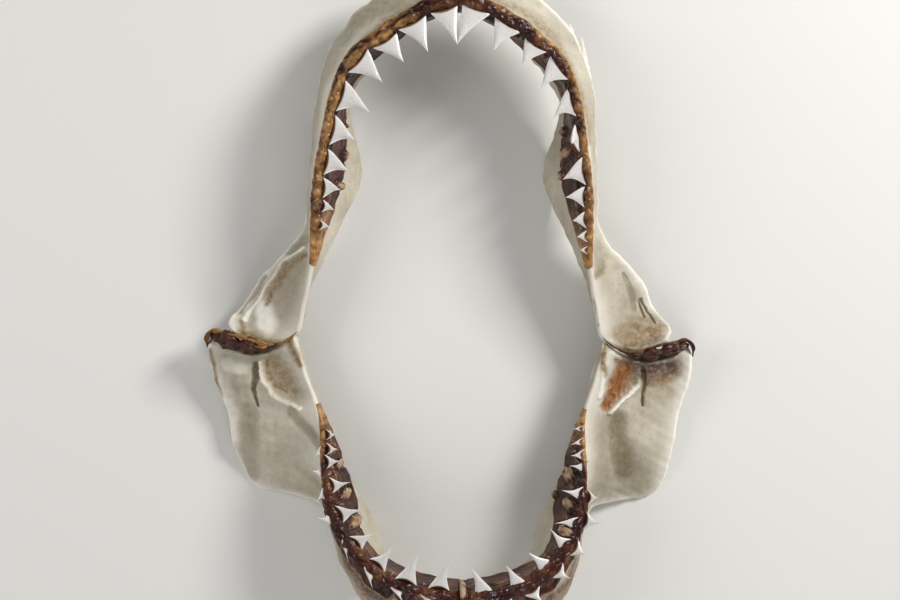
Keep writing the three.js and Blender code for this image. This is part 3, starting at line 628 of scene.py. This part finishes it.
# A half jaw: the skin over a grid of place and way, pushed out by unevenness, by a bead along the
# border and by the marks, whose paths wobble and fray; a mark also wipes most of the pale rim away.
# The first ring stands flat at the pad, the last are rounded over as a quarter circle.
def cartilage(level, jaw, side):
    shape = cartilageShape
    last = len(jaw["ridge"]) - 1
    places = evenPlaces(jaw, shape["places"][0], last - shape["places"][1], shape["rows"])
    over = np.linspace(0, np.pi / 2, shape["endRings"])[1:]
    places = np.concatenate([places, np.full(len(over), places[-1])])
    ways = ringWays(shape["columns"])
    cut = cutsAt(jaw, places)
    plain, normal = skin(cut, ways)
    seen = settle(plain, side)
    facing = smooth(normal[..., 2], *shape["facing"])
    seed = seedOf(level, side)
    push = shape["swell"] * uneven(seen, shape["swellSize"], seed)
    push += shape["pit"] * uneven(seen, shape["pitSize"], seed + 1)
    fromGum = abs(np.mod(ways + (3 - shape["gumWay"]), 6) - 3)
    bare = smooth(fromGum, *shape["gumSide"])
    push = push * bare - shape["underGum"] * (1 - bare)
    fromRim = ways - shape["rimWay"]
    push += shape["rimBead"] * np.exp(-((fromRim / shape["rimWidth"][0]) ** 4))
    masks = {key: np.zeros(push.shape) for key in shape["markEdge"]}
    masks["rim"] += shape["rimPaint"] * np.exp(-((fromRim / shape["rimWidth"][1]) ** 4))
    masks["rim"] += shape["ridgePaint"] * np.exp(
        -(((ways - shape["ridgeWay"]) / shape["ridgeWidth"]) ** 4))
    ragged = seen + np.stack([
        *(shape["wobble"] * uneven(seen, shape["wobbleSize"], seed + number)
          + shape["fray"] * uneven(seen, shape["fraySize"], seed + number + 2) for number in (6, 7)),
        np.zeros(push.shape)], -1)
    for key, strength, height, path in marks[(level, side)]:
        cover = mark(ragged, path, shape["markEdge"][key]) * facing
        masks[key] = np.maximum(masks[key], strength * cover)
        push += height * cover
        if key != "rim":
            masks["rim"] *= 1 - shape["rimLoss"] * cover
    aside, ahead = shape["foldRun"]
    waver = shape["foldWaver"] * uneven(seen, shape["foldSize"], seed + 5)
    folds = np.sin(seen[..., 0] * aside - seen[..., 1] * ahead + waver)
    push += masks["tissue"] * shape["fold"] * folds
    if level == "lower":  # the end tucks in under the upper plate
        start, end = (last - share for share in shape["tuckPlaces"])
        push -= shape["tuck"] * smooth(places, start, end)[:, None] * facing
    points = skin(cut, ways, push)[0]
    rolled = np.zeros(len(places))
    rolled[-len(over):] = over
    inset = shape["endRound"] * (1 - np.cos(rolled))
    points += normal * -inset[:, None, None]
    points += cut["along"][:, None] * (shape["endRound"] * np.sin(rolled))[:, None, None]
    flatEnd = points[:1].copy()
    flatEnd[..., 0] = jawSet["padHalf"] + jawSet["gap"]
    points = np.concatenate([flatEnd, points])
    masks = {key: np.concatenate([value[:1], value]) for key, value in masks.items()}
    tubes = [(settle(points, side), masks)]
    if level == "upper" and side == 1:
        tubes += [(settle(splinter(flake), side), {"rim": flakeShape["paint"]}) for flake in splinters]
    makePiece(f"{level}Jaw{sideNames[side].capitalize()}", tubes, list(masks), bone, "cartilage",
              f"{level}_jaw_{sideNames[side]}")


flakeShape = {
    "rings": 40, "around": 20, "end": 0.985, "paint": 0.8,
    "waves": [(0.12, 31, 0), (0.1, 53, 1)],  # of the ragged sides: height, speed and shift
}


# A flake: flat ovals along a line, narrowing as the square root of what is left, with two waves
# that make its sides ragged.
def splinter(flake):
    shape = flakeShape
    foot, tip = np.array(flake["foot"], float), np.array(flake["tip"], float)
    t = np.linspace(0, shape["end"], shape["rings"])[:, None, None]
    turn = (np.arange(shape["around"]) / shape["around"] * 2 * np.pi)[None, :, None]
    ahead = unit(tip - foot)
    across = unit(np.cross([0, 0, 1], ahead))
    up = np.cross(ahead, across)
    ragged = sum(high * np.sin(t * speed + shift) for high, speed, shift in shape["waves"])
    narrow = np.sqrt(1 - t) * (1 + ragged)
    return (foot + (tip - foot) * t + across * flake["width"] / 2 * narrow * np.cos(turn)
            + up * flake["thickness"] / 2 * narrow * np.sin(turn))


for side in (1, -1):
    cartilage("upper", upperJaw, side)
    cartilage("lower", lowerJaw, side)
print("cartilages made")

padShape = {
    "rings": 7, "columns": (12, 40, 12, 30, 12, 30), "inset": -1.4, "squash": 0.9, "waver": 0.25,
    "waverSize": 5, "seed": 77, "honey": 0.9,
}


# A pad between the halves: the outline of the symphysis, carried across it and squeezed out a
# little in the middle, as 1 - x squared.
def pad(level, jaw):
    shape = padShape
    x = np.linspace(-1, 1, shape["rings"])
    offset = shape["inset"] + shape["squash"] * (1 - x[:, None] ** 2)
    points = skin(cutsAt(jaw, np.zeros(len(x))), ringWays(shape["columns"]), offset)[0]
    points[..., 0] = x[:, None] * jawSet["padHalf"]
    points[..., 1] += shape["waver"] * uneven(points, shape["waverSize"], shape["seed"])
    makePiece(f"{level}Symphysis", [(settle(points, 1), {"honey": shape["honey"]})], ["honey"],
              sinew, "symphysis", f"{level}_symphysis")


pad("upper", upperJaw)
pad("lower", lowerJaw)

# Each tooth is: place along the ridge, crown width, crown height, lean of the tip to the hinge, and
# its rise in radians where it isn't the row's own.
teeth = {
    ("upper", -1): [
        (10.5, 18, 23.5, -2.5), (34, 20, 20.5, -0.5), (56, 18.5, 17.5, -2.5), (79.5, 20, 20.5, 1),
        (107, 21, 20.5, 5.5), (131, 20, 14.5, 4), (152.5, 17.5, 14.5, 4), (170, 13.5, 10, 1.5),
        (182, 8, 6.5, 2), (194.5, 6, 5, 1),
    ],
    ("upper", 1): [
        (13, 20, 25, -3.5), (37, 20, 18.5, 1.5), (60.5, 17, 16, 0.5), (83, 20, 17, 5.5),
        (108.5, 19.5, 13.5, 8), (133, 18.5, 13, 4, 1.15), (155.5, 18.5, 13, 4), (172.5, 14, 11, 1),
        (188, 11, 7, 0), (199, 7.5, 5, 0), (208, 5, 3, 0),
    ],
    ("lower", -1): [
        (14, 14, 17, -6), (37, 15, 20.5, -3.5), (60, 13, 15.2, 1.5), (80, 12, 13.5, -3),
        (102, 12.5, 14.5, -2), (121, 11, 11.5, 1.5), (136, 10, 8, 0.5), (148, 8, 5.5, 0), (158, 7, 4, 0),
    ],
    ("lower", 1): [
        (16, 13.5, 17, -6.5), (40.5, 12.5, 14.5, -2), (64, 13, 14, -1.5), (84, 11, 13, 4),
        (100, 9.5, 11, -5), (119, 10, 12, 1), (136, 8.5, 9, 0.5), (147, 7.5, 6.5, -0.5),
        (156.5, 5.5, 6, -2), (165, 4.5, 4, -0.5),
    ],
}
foldedTeeth = {
    -1: [(20, 12, 7, -6), (41, 12, 6, -8), (60, 12, 6, -9), (82, 11, 4.5, -9), (101, 12, 7.5, 4),
         (120, 11, 5, -5), (134, 10, 6, 2), (148, 9, 3.5, -4)],
    1: [(27, 12.5, 8, 4), (46, 13, 9, 3), (66, 13.5, 8, 3), (85, 12.5, 8, 1), (104, 12, 10, 4),
        (121, 9, 5, 1)],
}
# Where a row stands, how it faces and rises; front and rear: how much of each edge is a straight
# taper, and the power of the hollow part; fuller: how much straighter the middle teeth are; droop:
# how far the corners of the foot hang (mm).
rows = {
    "upper": {"way": 0.25, "lift": 2.6, "facing": 1, "rise": 0.1, "front": (0.8, 2), "rear": (0.42, 3.2),
              "fuller": 0, "droop": 1.8},
    "lower": {"way": 0.25, "lift": 2.8, "facing": 1, "rise": 0.2, "front": (0.34, 4), "rear": (0.3, 5),
              "fuller": 0.5, "droop": 3},
    "folded": {"way": 0.8, "lift": 2, "facing": -1, "rise": 0.35, "front": (0.34, 4), "rear": (0.3, 5),
               "fuller": 0, "droop": 2.5},
}
insets = {("upper", 1): 1, ("upper", -1): 3, ("lower", 1): 0, ("lower", -1): 3,
          ("folded", 1): 3, ("folded", -1): 0}
toothShape = {
    "crownRows": 44, "crowding": 1.15, "rootRows": 7, "around": 28,  # rows crowd at the tip
    "thick": 0.24, "thinning": 0.35, "edgeThick": 0.9, "leastThick": 0.05, "bend": 0.06,
    "face": 0.8, "back": 1.1, "lens": 1.35, "leanPower": 1.3, "droopPower": 4, "fullReach": 70,
    "saw": 0.12, "sawStep": 0.9, "sawStart": (0.03, 0.1), "edgePaint": 0.75,
    "rootDepth": 5, "rootShare": 0.3, "rootNarrow": 0.2, "rootBend": 1.5, "rootArch": 0.6,
    "rootFade": 0.8,
}


# The place that lies at a distance along the ridge.
def placeOf(jaw, distance):
    fine = np.linspace(0, len(jaw["ridge"]) - 1, ridgeSteps)
    return float(np.interp(distance, ridgeDistance(jaw, fine), fine))


# A tooth: lens-shaped rings from the root to the tip, which bends back. Each edge runs in as a
# straight taper plus a hollow one, half (q (1 - t) + (1 - q)(1 - t)^p), and is notched by a fine
# saw. The root bends down into the gum and the corners of the foot hang down.
def tooth(jaw, entry, row, inset):
    distance, width, height, lean = entry[:4]
    rise = entry[4] if len(entry) > 4 else row["rise"]
    shape = toothShape
    place = placeOf(jaw, distance)
    cut = cutsAt(jaw, np.array([place]))
    near, far = runAt(np.array([place - nearby, place + nearby]), jaw["ridge"])
    side = unit((far - near) * [1, 1, 0])
    into = np.array([side[1], -side[0], 0]) * jaw["mouth"] * row["facing"]
    foot = skin(cut, np.array([row["way"]]), row["lift"])[0][0, 0] + into * inset
    crown = into * np.cos(rise) + np.array([0, 0, np.sin(rise)])
    face = np.cross(side, crown)
    face = face if face[2] > 0 else -face
    t = 1 - (1 - np.linspace(0, 1, shape["crownRows"])) ** shape["crowding"]
    half = width / 2
    edges = []
    for (q, power), sign in ((row["front"], -1), (row["rear"], 1)):
        q = q + row["fuller"] * (1 - q) * np.exp(-((distance / shape["fullReach"]) ** 2))
        taper = q * (1 - t) + (1 - q) * (1 - t) ** power
        saw = abs((t * height / shape["sawStep"]) % 1 - 0.5) * 2
        saw = saw * smooth(t, *shape["sawStart"]) * (1 - t)
        edges.append(sign * (half * taper - shape["saw"] * saw) + lean * t ** shape["leanPower"])
    v = t * height
    depth = min(shape["rootDepth"], shape["rootShare"] * width)
    rootV = np.linspace(-depth, 0, shape["rootRows"], endpoint=False)
    rootHalf = half * (1 + shape["rootNarrow"] * rootV / depth)
    left = np.concatenate([-rootHalf, edges[0]])[:, None]
    right = np.concatenate([rootHalf, edges[1]])[:, None]
    v = np.concatenate([rootV, v])[:, None]
    turn = (np.arange(shape["around"]) / shape["around"] * 2 * np.pi)[None]
    middle, reach = (left + right) / 2, (right - left) / 2
    thick = np.minimum(width * shape["thick"] / 2, reach * shape["edgeThick"] + shape["leastThick"])
    up = np.clip(v / height, 0, 1)
    thick = thick * (1 - shape["thinning"] * up)
    u = middle + reach * np.cos(turn)
    w = thick * np.sign(np.sin(turn)) * abs(np.sin(turn)) ** shape["lens"]
    w = np.where(w > 0, w * shape["face"], w * shape["back"])
    w = w + shape["bend"] * height * up**2
    spread = np.clip(abs(u) / half, 0, 1)
    rooted = 1 - smooth(v - shape["rootArch"] * (1 - spread**2), -shape["rootFade"], 0)
    # Whiter towards both edges of the tooth: partly the enamel's own paler edge, partly painted
    # highlight.
    edge = smooth(abs(np.cos(turn)) + 0 * v, shape["edgePaint"], 1)  # 0 * v spreads it over all the rings
    droop = row["droop"] * np.clip(1 - v / height, 0, 1) ** shape["droopPower"] * spread**2
    sink = shape["rootBend"] * np.maximum(-v, 0)
    points = (foot + side * u[..., None] + crown * (v - droop)[..., None] + face * w[..., None]
              - [0, 0, 1] * sink[..., None])
    return points, {"root": rooted, "edge": edge}


for (level, side), entries in teeth.items():
    jaw = upperJaw if level == "upper" else lowerJaw
    grown = [tooth(jaw, entry, rows[level], insets[(level, side)]) for entry in entries]
    if level == "lower":
        grown += [tooth(jaw, entry, rows["folded"], insets[("folded", side)])
                  for entry in foldedTeeth[side]]
    makePiece(f"{level}Teeth{sideNames[side].capitalize()}",
              [(settle(points, side), masks) for points, masks in grown],
              ["root", "edge"], enamel, "gum", f"{level}_gum_{sideNames[side]}")
print("teeth made")

# Each gum: where it ends, how far its lips reach, how golden its roll, outer edge and collars are
# on either side, and its larger buds, each x, y and radius.
gums = {
    "upper": {
        "ends": 8.05, "thickness": 2.2, "lip": [1.02, 1.02, 1.02, 0.9, 0.8, 0.85, 1, 0.9, 0.8],
        "inner": [0.8, 0.8, 0.85, 0.85, 0.8, 0.6, 0.5, 0.42, 0.3],
        "gold": {1: 0.12, -1: 0.48}, "goldEdge": {1: 3, -1: 2}, "collarGold": {1: 0.1, -1: 0.7},
        "roll": 0.45, "collar": 1.2, "folds": {1: 0.12, -1: 0.16}, "creaseAt": {1: 3, -1: 3.7},
        "creaseDepth": {1: 0.4, -1: 0.9},
        "buds": {
            -1: [(-69, 121, 2.6), (-70.5, 101, 3.2), (-75.5, 81, 2.4)],
            1: [(79.5, 103, 3), (75.5, 88, 2.6), (77, 118, 2.2)],
        },
    },
    "lower": {
        "ends": 9.1, "thickness": 2.2, "lip": [1.26, 1.26, 1.26, 1.24, 1.2, 1.1, 1, 0.9, 0.8, 0.7],
        "inner": [0.95, 0.95, 0.92, 0.5, 0.48, 0.75, 0.95, 0.98, 0.98, 0.98],
        "gold": {1: 0.05, -1: 0.05}, "goldEdge": {1: 2, -1: 2}, "collarGold": {1: 0.05, -1: 0.05},
        "roll": 0.4, "collar": 0.9, "folds": {1: 0.1, -1: 0.1}, "creaseAt": {1: 3.2, -1: 3.2},
        "creaseDepth": {1: 0.7, -1: 0.7},
        "buds": {
            -1: [(-65.5, -144.5, 3.4), (-71.5, -127, 2.8), (-75, -108.5, 2.2), (-36, -190.5, 3.2)],
            1: [(81, -114.5, 3.4), (80.5, -132.5, 3), (71, -128.5, 2.2), (78, -149.5, 3),
                (8, -188, 3)],
        },
    },
}
# Lengths are in mm. At counts from the teeth to the back. Aside and Width are in half crown widths
# for hollows and buds, and in radii of the lump for a moat. Paint and gold are shares of a colour.
gumShape = {
    "start": 0.06, "rows": 620, "columns": 130, "under": 14, "underDepth": 1.5, "edgeRound": 2.4,
    "wander": 0.02, "wanderSizes": (17, 13), "innerSpan": (0.05, 0.98), "meet": 8,
    "endSlope": 4, "endLeast": 0.2, "tail": (0.8, 0.97), "middle": (16, 38), "middleGold": 0.3,
    "seamWander": 0.7, "seamSize": 9, "rollStart": (0.2, 1.2), "rollSeam": (0.3, 1.1), "rollEnd": 2,
    "creaseWidth": 0.6, "creaseRoom": (3.5, 5.5), "creaseCut": 0.9, "creaseShadePaint": 0.85,
    "innerGold": 0.5, "innerWidth": 1.2, "rollGold": 0.8, "rollMottle": 0.45, "mottleSize": 3.4,
    "ribbonStep": 4, "foldStep": 1.9, "foldLightShade": 1.5, "foldWaver": 0.45, "foldDrawn": (3, 0.5, 1),
    "foldSize": 9, "frontFade": (1, 3),
    "collarAt": -1.6, "collarLength": 2.1, "collarPaint": (0.2, 0.8), "collarCrease": 0.6,
    "hollow": 1.3, "hollowAside": 1.25, "hollowWidth": 0.3, "hollowAt": 2, "hollowLength": 3,
    "budHeight": 2.4, "budAt": (5, 8), "budAside": (0.2, 0.9), "budWidth": 0.42, "budLength": 2.4,
    "budPaint": (0.1, 0.5), "budEdge": (0.3, 0.85),
    "beads": 120, "beadHeight": 0.9, "beadStart": 8, "beadAt": (2, 11), "beadRadius": (0.7, 1.7),
    "beadGlintPaint": (0.3, 0.8), "beadEdge": (0.4, 0.9),
    "lumpHeight": 2.6, "lumpDrawn": 0.8, "lumpWaver": 0.12, "lumpWaverSize": 4, "lumpPaint": 0.85,
    "lumpEdge": (0.1, 0.95), "moatDepth": 0.9, "moatAt": 1.4, "moatWidth": 0.35, "moatShadePaint": 0.8,
    "wrinkle": 0.45, "wrinkles": [(8, 0.7), (4, 0.3)],  # size and share of each kind
    "calm": 0.3, "least": 0.45, "backBump": 0.15, "sink": 0.1,
}


# A gum: from the outer lip, over the ridge, to the inner lip. Its thickness rises as a quarter
# circle from each lip. In front of the teeth runs a roll with a crease, painted dark as its shade,
# and fine folds, painted more golden on their crests as light and less in their hollows as shade,
# and a collar swells at each tooth; hollows lie between the teeth, and behind them are buds of new
# teeth, small beads of film painted pale as glints, and a few larger buds with a moat round each,
# painted dark as its shade. Behind the teeth it is calmer.
def gumBand(level, jaw, side):
    gum, shape = gums[level], gumShape
    places = evenPlaces(jaw, shape["start"], gum["ends"], shape["rows"])
    distance = ridgeDistance(jaw, places)
    seed = 100 + seedOf(level, side)
    rng = np.random.default_rng(seed)
    zeros = np.zeros(len(places))
    track = np.stack([distance, zeros, zeros], -1)
    meet = smooth(distance, 0, shape["meet"])  # both halves are alike where they meet
    outerWander, innerWander = (shape["wander"] * meet * uneven(track, size, seed + number)
                                for number, size in enumerate(shape["wanderSizes"]))
    outer = runAt(places, gum["lip"])[:, 0] + outerWander
    inner = np.clip(runAt(places, gum["inner"])[:, 0] + innerWander, *shape["innerSpan"])
    meet = meet[:, None]
    s = np.linspace(0, 1, shape["columns"])[None]
    way = outer[:, None] * (1 - s) - inner[:, None] * s
    cut = cutsAt(jaw, places)
    plain = skin(cut, way)[0]
    run = np.concatenate([np.zeros((len(places), 1)),
                          np.cumsum(np.linalg.norm(np.diff(plain, axis=1), axis=-1), axis=1)], axis=1)
    width = run[:, -1:]
    edge = np.clip(np.minimum(run, width - run) / shape["edgeRound"], 0, 1)
    done = np.linspace(0, 1, len(places))[:, None]
    fade = np.minimum(1, (1 - done) * shape["endSlope"] + shape["endLeast"])
    push = gum["thickness"] * np.sqrt(1 - (1 - edge) ** 2) * fade
    seen = settle(plain, side)
    nearest = np.argmin(abs(way - rows[level]["way"]), axis=1)
    centre = run[np.arange(len(places)), nearest][:, None]  # where the teeth stand
    wander = shape["seamWander"] * uneven(track, shape["seamSize"], seed + 2)
    seam = centre - gum["creaseAt"][side] + wander[:, None]
    roll = smooth(run, *shape["rollStart"]) * smooth(abs(run - seam), *shape["rollSeam"])
    roll = roll * (1 - smooth(run, centre, centre + shape["rollEnd"]))
    # The crease is cut in and painted dark as its shade.
    shadedCrease = gum["creaseDepth"][side] * np.exp(-(((run - seam) / shape["creaseWidth"]) ** 2))
    shadedCrease = shadedCrease * smooth(centre, *shape["creaseRoom"])
    lip = np.exp(-((run / gum["goldEdge"][side]) ** 2))
    lip += shape["innerGold"] * np.exp(-(((width - run) / shape["innerWidth"]) ** 2))
    ribbon = np.stack([distance[:, None] / shape["ribbonStep"] + 0 * run, run, 0 * run], -1)
    mottled = shape["rollGold"] + shape["rollMottle"] * uneven(ribbon, shape["mottleSize"], seed + 5)
    lip = np.maximum(lip, roll * gum["gold"][side] * mottled)
    waver = shape["foldWaver"] * uneven(ribbon * shape["foldDrawn"], shape["foldSize"], seed + 6)
    fold = np.sin(2 * np.pi * (run / shape["foldStep"] + waver))
    start, end = shape["frontFade"]
    front = (1 - smooth(run, centre + start, centre + end)) * meet
    push += (gum["roll"] * roll - shape["creaseCut"] * shadedCrease) * fade * meet
    push += gum["folds"][side] * fold * edge * front
    # Fold crests are painted more golden, as painted light, and fold hollows less, as painted shade.
    lip = lip * (1 + shape["foldLightShade"] * gum["folds"][side] * fold * front)
    thinning = shape["middleGold"] + (1 - shape["middleGold"]) * smooth(
        distance, *shape["middle"])[:, None]  # thicker, so darker, at the middle
    budAndGlint = np.zeros(push.shape)
    for along, wide, *_ in teeth[(level, side)]:
        aside = (distance[:, None] - along) / (wide / 2)
        collar = np.exp(-(aside**4)) * np.exp(
            -(((run - centre - shape["collarAt"]) / shape["collarLength"]) ** 2)) * fade
        push += gum["collar"] * collar * meet
        lip = np.maximum(lip, gum["collarGold"][side] * smooth(collar, *shape["collarPaint"]))
        shadedCrease = shadedCrease * (1 - shape["collarCrease"] * collar)
        push -= shape["hollow"] * fade * np.exp(
            -(((abs(aside) - shape["hollowAside"]) / shape["hollowWidth"]) ** 2)
            - ((run - centre - shape["hollowAt"]) / shape["hollowLength"]) ** 2)
        reach, shift = rng.uniform(*shape["budAt"]), rng.uniform(*shape["budAside"])
        swell = np.exp(-(((aside - shift) / shape["budWidth"]) ** 2)
                       - ((run - centre - reach) / shape["budLength"]) ** 2)
        push += shape["budHeight"] * swell * fade * meet
        budAndGlint = np.maximum(budAndGlint, rng.uniform(*shape["budPaint"]) * smooth(swell, *shape["budEdge"]) * meet)
    # Small beads of film behind the teeth, painted pale as glints.
    for _ in range(shape["beads"]):  # small beads of film, behind the teeth
        aside = distance[:, None] - rng.uniform(shape["beadStart"], distance[-1])
        down, radius = rng.uniform(*shape["beadAt"]), rng.uniform(*shape["beadRadius"])
        bead = np.exp(-((aside / radius) ** 2) - ((run - centre - down) / radius) ** 2)
        push += shape["beadHeight"] * bead * fade
        budAndGlint = np.maximum(budAndGlint, rng.uniform(*shape["beadGlintPaint"]) * smooth(bead, *shape["beadEdge"]))
    for x, y, radius in gum["buds"][side]:
        away = np.hypot(seen[..., 0] - x, (seen[..., 1] - y) * shape["lumpDrawn"]) / radius
        away = away + shape["lumpWaver"] * uneven(seen, shape["lumpWaverSize"], seed + 7)
        dome = np.sqrt(np.clip(1 - away**2, 0, 1))
        moat = np.exp(-(((away - shape["moatAt"]) / shape["moatWidth"]) ** 2))
        push += shape["lumpHeight"] * dome - shape["moatDepth"] * moat
        budAndGlint = np.maximum(budAndGlint * (1 - moat), shape["lumpPaint"] * smooth(dome, *shape["lumpEdge"]))
        # The moat is painted dark as its shade.
        shadedCrease = np.maximum(shadedCrease * (1 - dome), shape["moatShadePaint"] * moat)
    wrinkles = sum(uneven(seen, size, seed + 3 + number) * share
                   for number, (size, share) in enumerate(shape["wrinkles"]))
    calm = shape["calm"] + (1 - shape["calm"]) * front
    push += shape["wrinkle"] * wrinkles * edge * meet * calm
    push = np.maximum(push, shape["least"] * edge)
    tail = smooth(done, *shape["tail"])
    top = skin(cut, way, push - shape["sink"])[0]
    sUnder = np.linspace(1, 0, shape["under"] + 2)[None, 1:-1]
    wayUnder = outer[:, None] * (1 - sUnder) - inner[:, None] * sUnder
    under = skin(cut, wayUnder, -shape["underDepth"])[0]
    points = np.concatenate([top, under], axis=1)
    flatEnd = points[:1].copy()
    flatEnd[..., 0] = 0
    points = np.concatenate([flatEnd, points])
    masks = {}
    painted = {
        "lip": np.maximum(lip * thinning, tail), "budAndGlint": budAndGlint, "shadedCrease": shape["creaseShadePaint"] * shadedCrease,
        "front": shape["backBump"] + (1 - shape["backBump"]) * front + 0 * run,
    }
    for key, value in painted.items():
        value = np.concatenate([value, np.zeros((len(places), shape["under"]))], axis=1)
        masks[key] = np.concatenate([value[:1], value])
    makePiece(f"{level}Gum{sideNames[side].capitalize()}", [(settle(points, side), masks)],
              list(masks), gumSkin, "gum", f"{level}_gum_{sideNames[side]}")


for side in (1, -1):
    gumBand("upper", upperJaw, side)
    gumBand("lower", lowerJaw, side)
print("gums made")

# Strands: points are x, y, height, half width, half height; honey is how light the strand dries.
strands = [
    {"honey": 0.08, "path": [
        (161, -27, 21, 4, 5.5), (148, -30, 26.5, 4.2, 4.5), (136, -33.5, 28.5, 4.2, 4.5),
        (126, -35, 30, 3.1, 4), (118, -33, 31.5, 1.4, 2.2), (110, -29.5, 32, 0.7, 1.2),
        (102, -23, 32.5, 0.5, 0.8)]},
    {"honey": 0.85, "path": [
        (156, -24, 24, 1, 2.6), (148, -26, 27.5, 1.3, 2.4), (141, -27.5, 29.5, 1.1, 2.4),
        (133, -29.8, 31, 1.3, 2.4), (124, -32.3, 32, 1.1, 2.2), (116, -32, 32.5, 0.6, 1.4)]},
    {"honey": 0.25, "path": [
        (154, -29, 28, 0.9, 2.6), (143, -32, 31, 1.1, 2.4), (131, -33.5, 32.3, 1.2, 2.2),
        (122, -34, 33, 0.8, 1.6)]},
    {"honey": 0.5, "path": [
        (164, -35, 18, 0.8, 2.4), (163.7, -28, 22, 1.4, 4.4), (159.5, -24, 23, 1.5, 4),
        (152, -25, 24, 0.8, 2.6)]},
]
strandShape = {
    "rows": 150, "around": 64, "blunt": 9, "leastEnd": 0.02, "fibre": 0.1125,
    "grooves": [(1, 9, 10, 0), (0.7, 14, -4, 2)],  # depth, number round it, winding and shift
    "lumps": 0.26, "lumpSize": 7, "seed": 55, "endHoney": 0.7, "endFade": (0.6, 0.85),
}


# A strand: ovals carried along a smooth path, grooved by two waves of fibres that wind round it,
# and rounded off at both ends as the square root of the distance from the end.
def strand(entry, slim):
    shape = strandShape
    path = np.array(entry["path"], float)
    places = np.linspace(0, len(path) - 1, shape["rows"])
    line, size = runAlong(places, path[:, :3]), runAlong(places, path[:, 3:]) * slim
    ahead = unit(np.gradient(line, axis=0))
    across = unit(np.cross([0, 0, 1], ahead))
    up = np.cross(ahead, across)
    turn = (np.arange(shape["around"]) / shape["around"] * 2 * np.pi)[None]
    t = np.linspace(0, 1, shape["rows"])[:, None]
    blunt = np.sqrt(np.clip(np.minimum(t, 1 - t) * shape["blunt"], shape["leastEnd"], 1))
    grooves = sum(depth * np.sin(count * turn + winding * t + shift)
                  for depth, count, winding, shift in shape["grooves"])
    radius = blunt + shape["fibre"] * grooves * blunt
    radius = radius * (1 + shape["lumps"] * uneven(line, shape["lumpSize"], shape["seed"])[:, None])
    return (line[:, None] + across[:, None] * (size[:, :1] * radius * np.cos(turn))[..., None]
            + up[:, None] * (size[:, 1:] * radius * np.sin(turn))[..., None])


# Smooth run through the points of a free path.
def runAlong(places, knots):
    line = np.vstack([2 * knots[0] - knots[1], knots, 2 * knots[-1] - knots[-2]])
    return cubicRun(line, np.clip(places, 0, len(knots) - 1 - 1e-9))


for side, slim, light in ((1, 0.76, 0.4), (-1, 1, 1)):  # the right one is slimmer and darker
    done = np.linspace(0, 1, strandShape["rows"])[:, None]
    thin = strandShape["endHoney"] * smooth(done, *strandShape["endFade"])
    tubes = [(settle(strand(entry, slim), side), {"honey": (entry["honey"] + thin) * light})
             for entry in strands]
    makePiece(f"hingeLigament{sideNames[side].capitalize()}", tubes, ["honey"], sinew, "ligament",
              f"hinge_ligament_{sideNames[side]}")
print("ligaments made")

studio = {
    "floor": "#E0DED9", "floorHalf": 4, "floorLevel": -0.0004, "world": "#F2F3F5", "worldPower": 0.24,
    "lights": [  # place, size and power of each soft box; all look at the middle of the jaws
        ((1.05, 0.75, 0.85), 0.45, 22), ((-0.95, 0.2, 0.8), 0.7, 5), ((0.1, -1.1, 0.7), 0.7, 4)],
    "cameraPlace": (-0.0001, 0.0042, 1.4194), "lens": 82.92,
}

# Background paper, rolled and uncoated: quite matt, with hardly any tooth.
floorMaterial, tree, place = startMaterial("paleStudioPaper")
paper = addNode(tree, "TexNoise", {"Vector": place, "Scale": 400, "Detail": 2})
paperBump = addNode(tree, "Bump", {
    "Height": paper.outputs["Fac"], "Strength": 0.05, "Distance": 0.0002})
paperShader = addNode(tree, "BsdfPrincipled", {
    "Base Color": studio["floor"], "Roughness": 0.85, "Normal": paperBump.outputs["Normal"]})
addNode(tree, "OutputMaterial", {"Surface": paperShader.outputs[0]})
floorMesh = bpy.data.meshes.new("studioFloor")
half, height = studio["floorHalf"], studio["floorLevel"]
floorMesh.from_pydata([(-half, -half, height), (half, -half, height), (half, half, height),
                       (-half, half, height)], [], [(0, 1, 2, 3)])
floorMesh.materials.append(floorMaterial)
floorObject = bpy.data.objects.new("studioFloor", floorMesh)
bpy.context.scene.collection.objects.link(floorObject)

bpy.context.scene.view_settings.view_transform = "Standard"
world = bpy.data.worlds.new("softRoom")
bpy.context.scene.world = world
world.use_nodes = True
world.node_tree.nodes.clear()
sky = addNode(world.node_tree, "Background", {
    "Color": studio["world"], "Strength": studio["worldPower"]})
addNode(world.node_tree, "OutputWorld", {"Surface": sky.outputs[0]})
for number, (spot, size, power) in enumerate(studio["lights"]):
    lamp = bpy.data.lights.new(f"softBox{number}", "AREA")
    lamp.energy, lamp.size = power, size
    holder = bpy.data.objects.new(f"softBox{number}", lamp)
    holder.location = spot
    holder.rotation_euler = (-Vector(spot)).to_track_quat("-Z", "Y").to_euler()
    bpy.context.scene.collection.objects.link(holder)

cameraData = bpy.data.cameras.new("overhead")
cameraData.lens, cameraData.sensor_width = studio["lens"], 36
cameraData.clip_start, cameraData.clip_end = 0.05, 20
camera = bpy.data.objects.new("overhead", cameraData)
camera.location = studio["cameraPlace"]  # straight down, the top of the picture is +Y
bpy.context.scene.collection.objects.link(camera)
bpy.context.scene.camera = camera
print("studio ready")
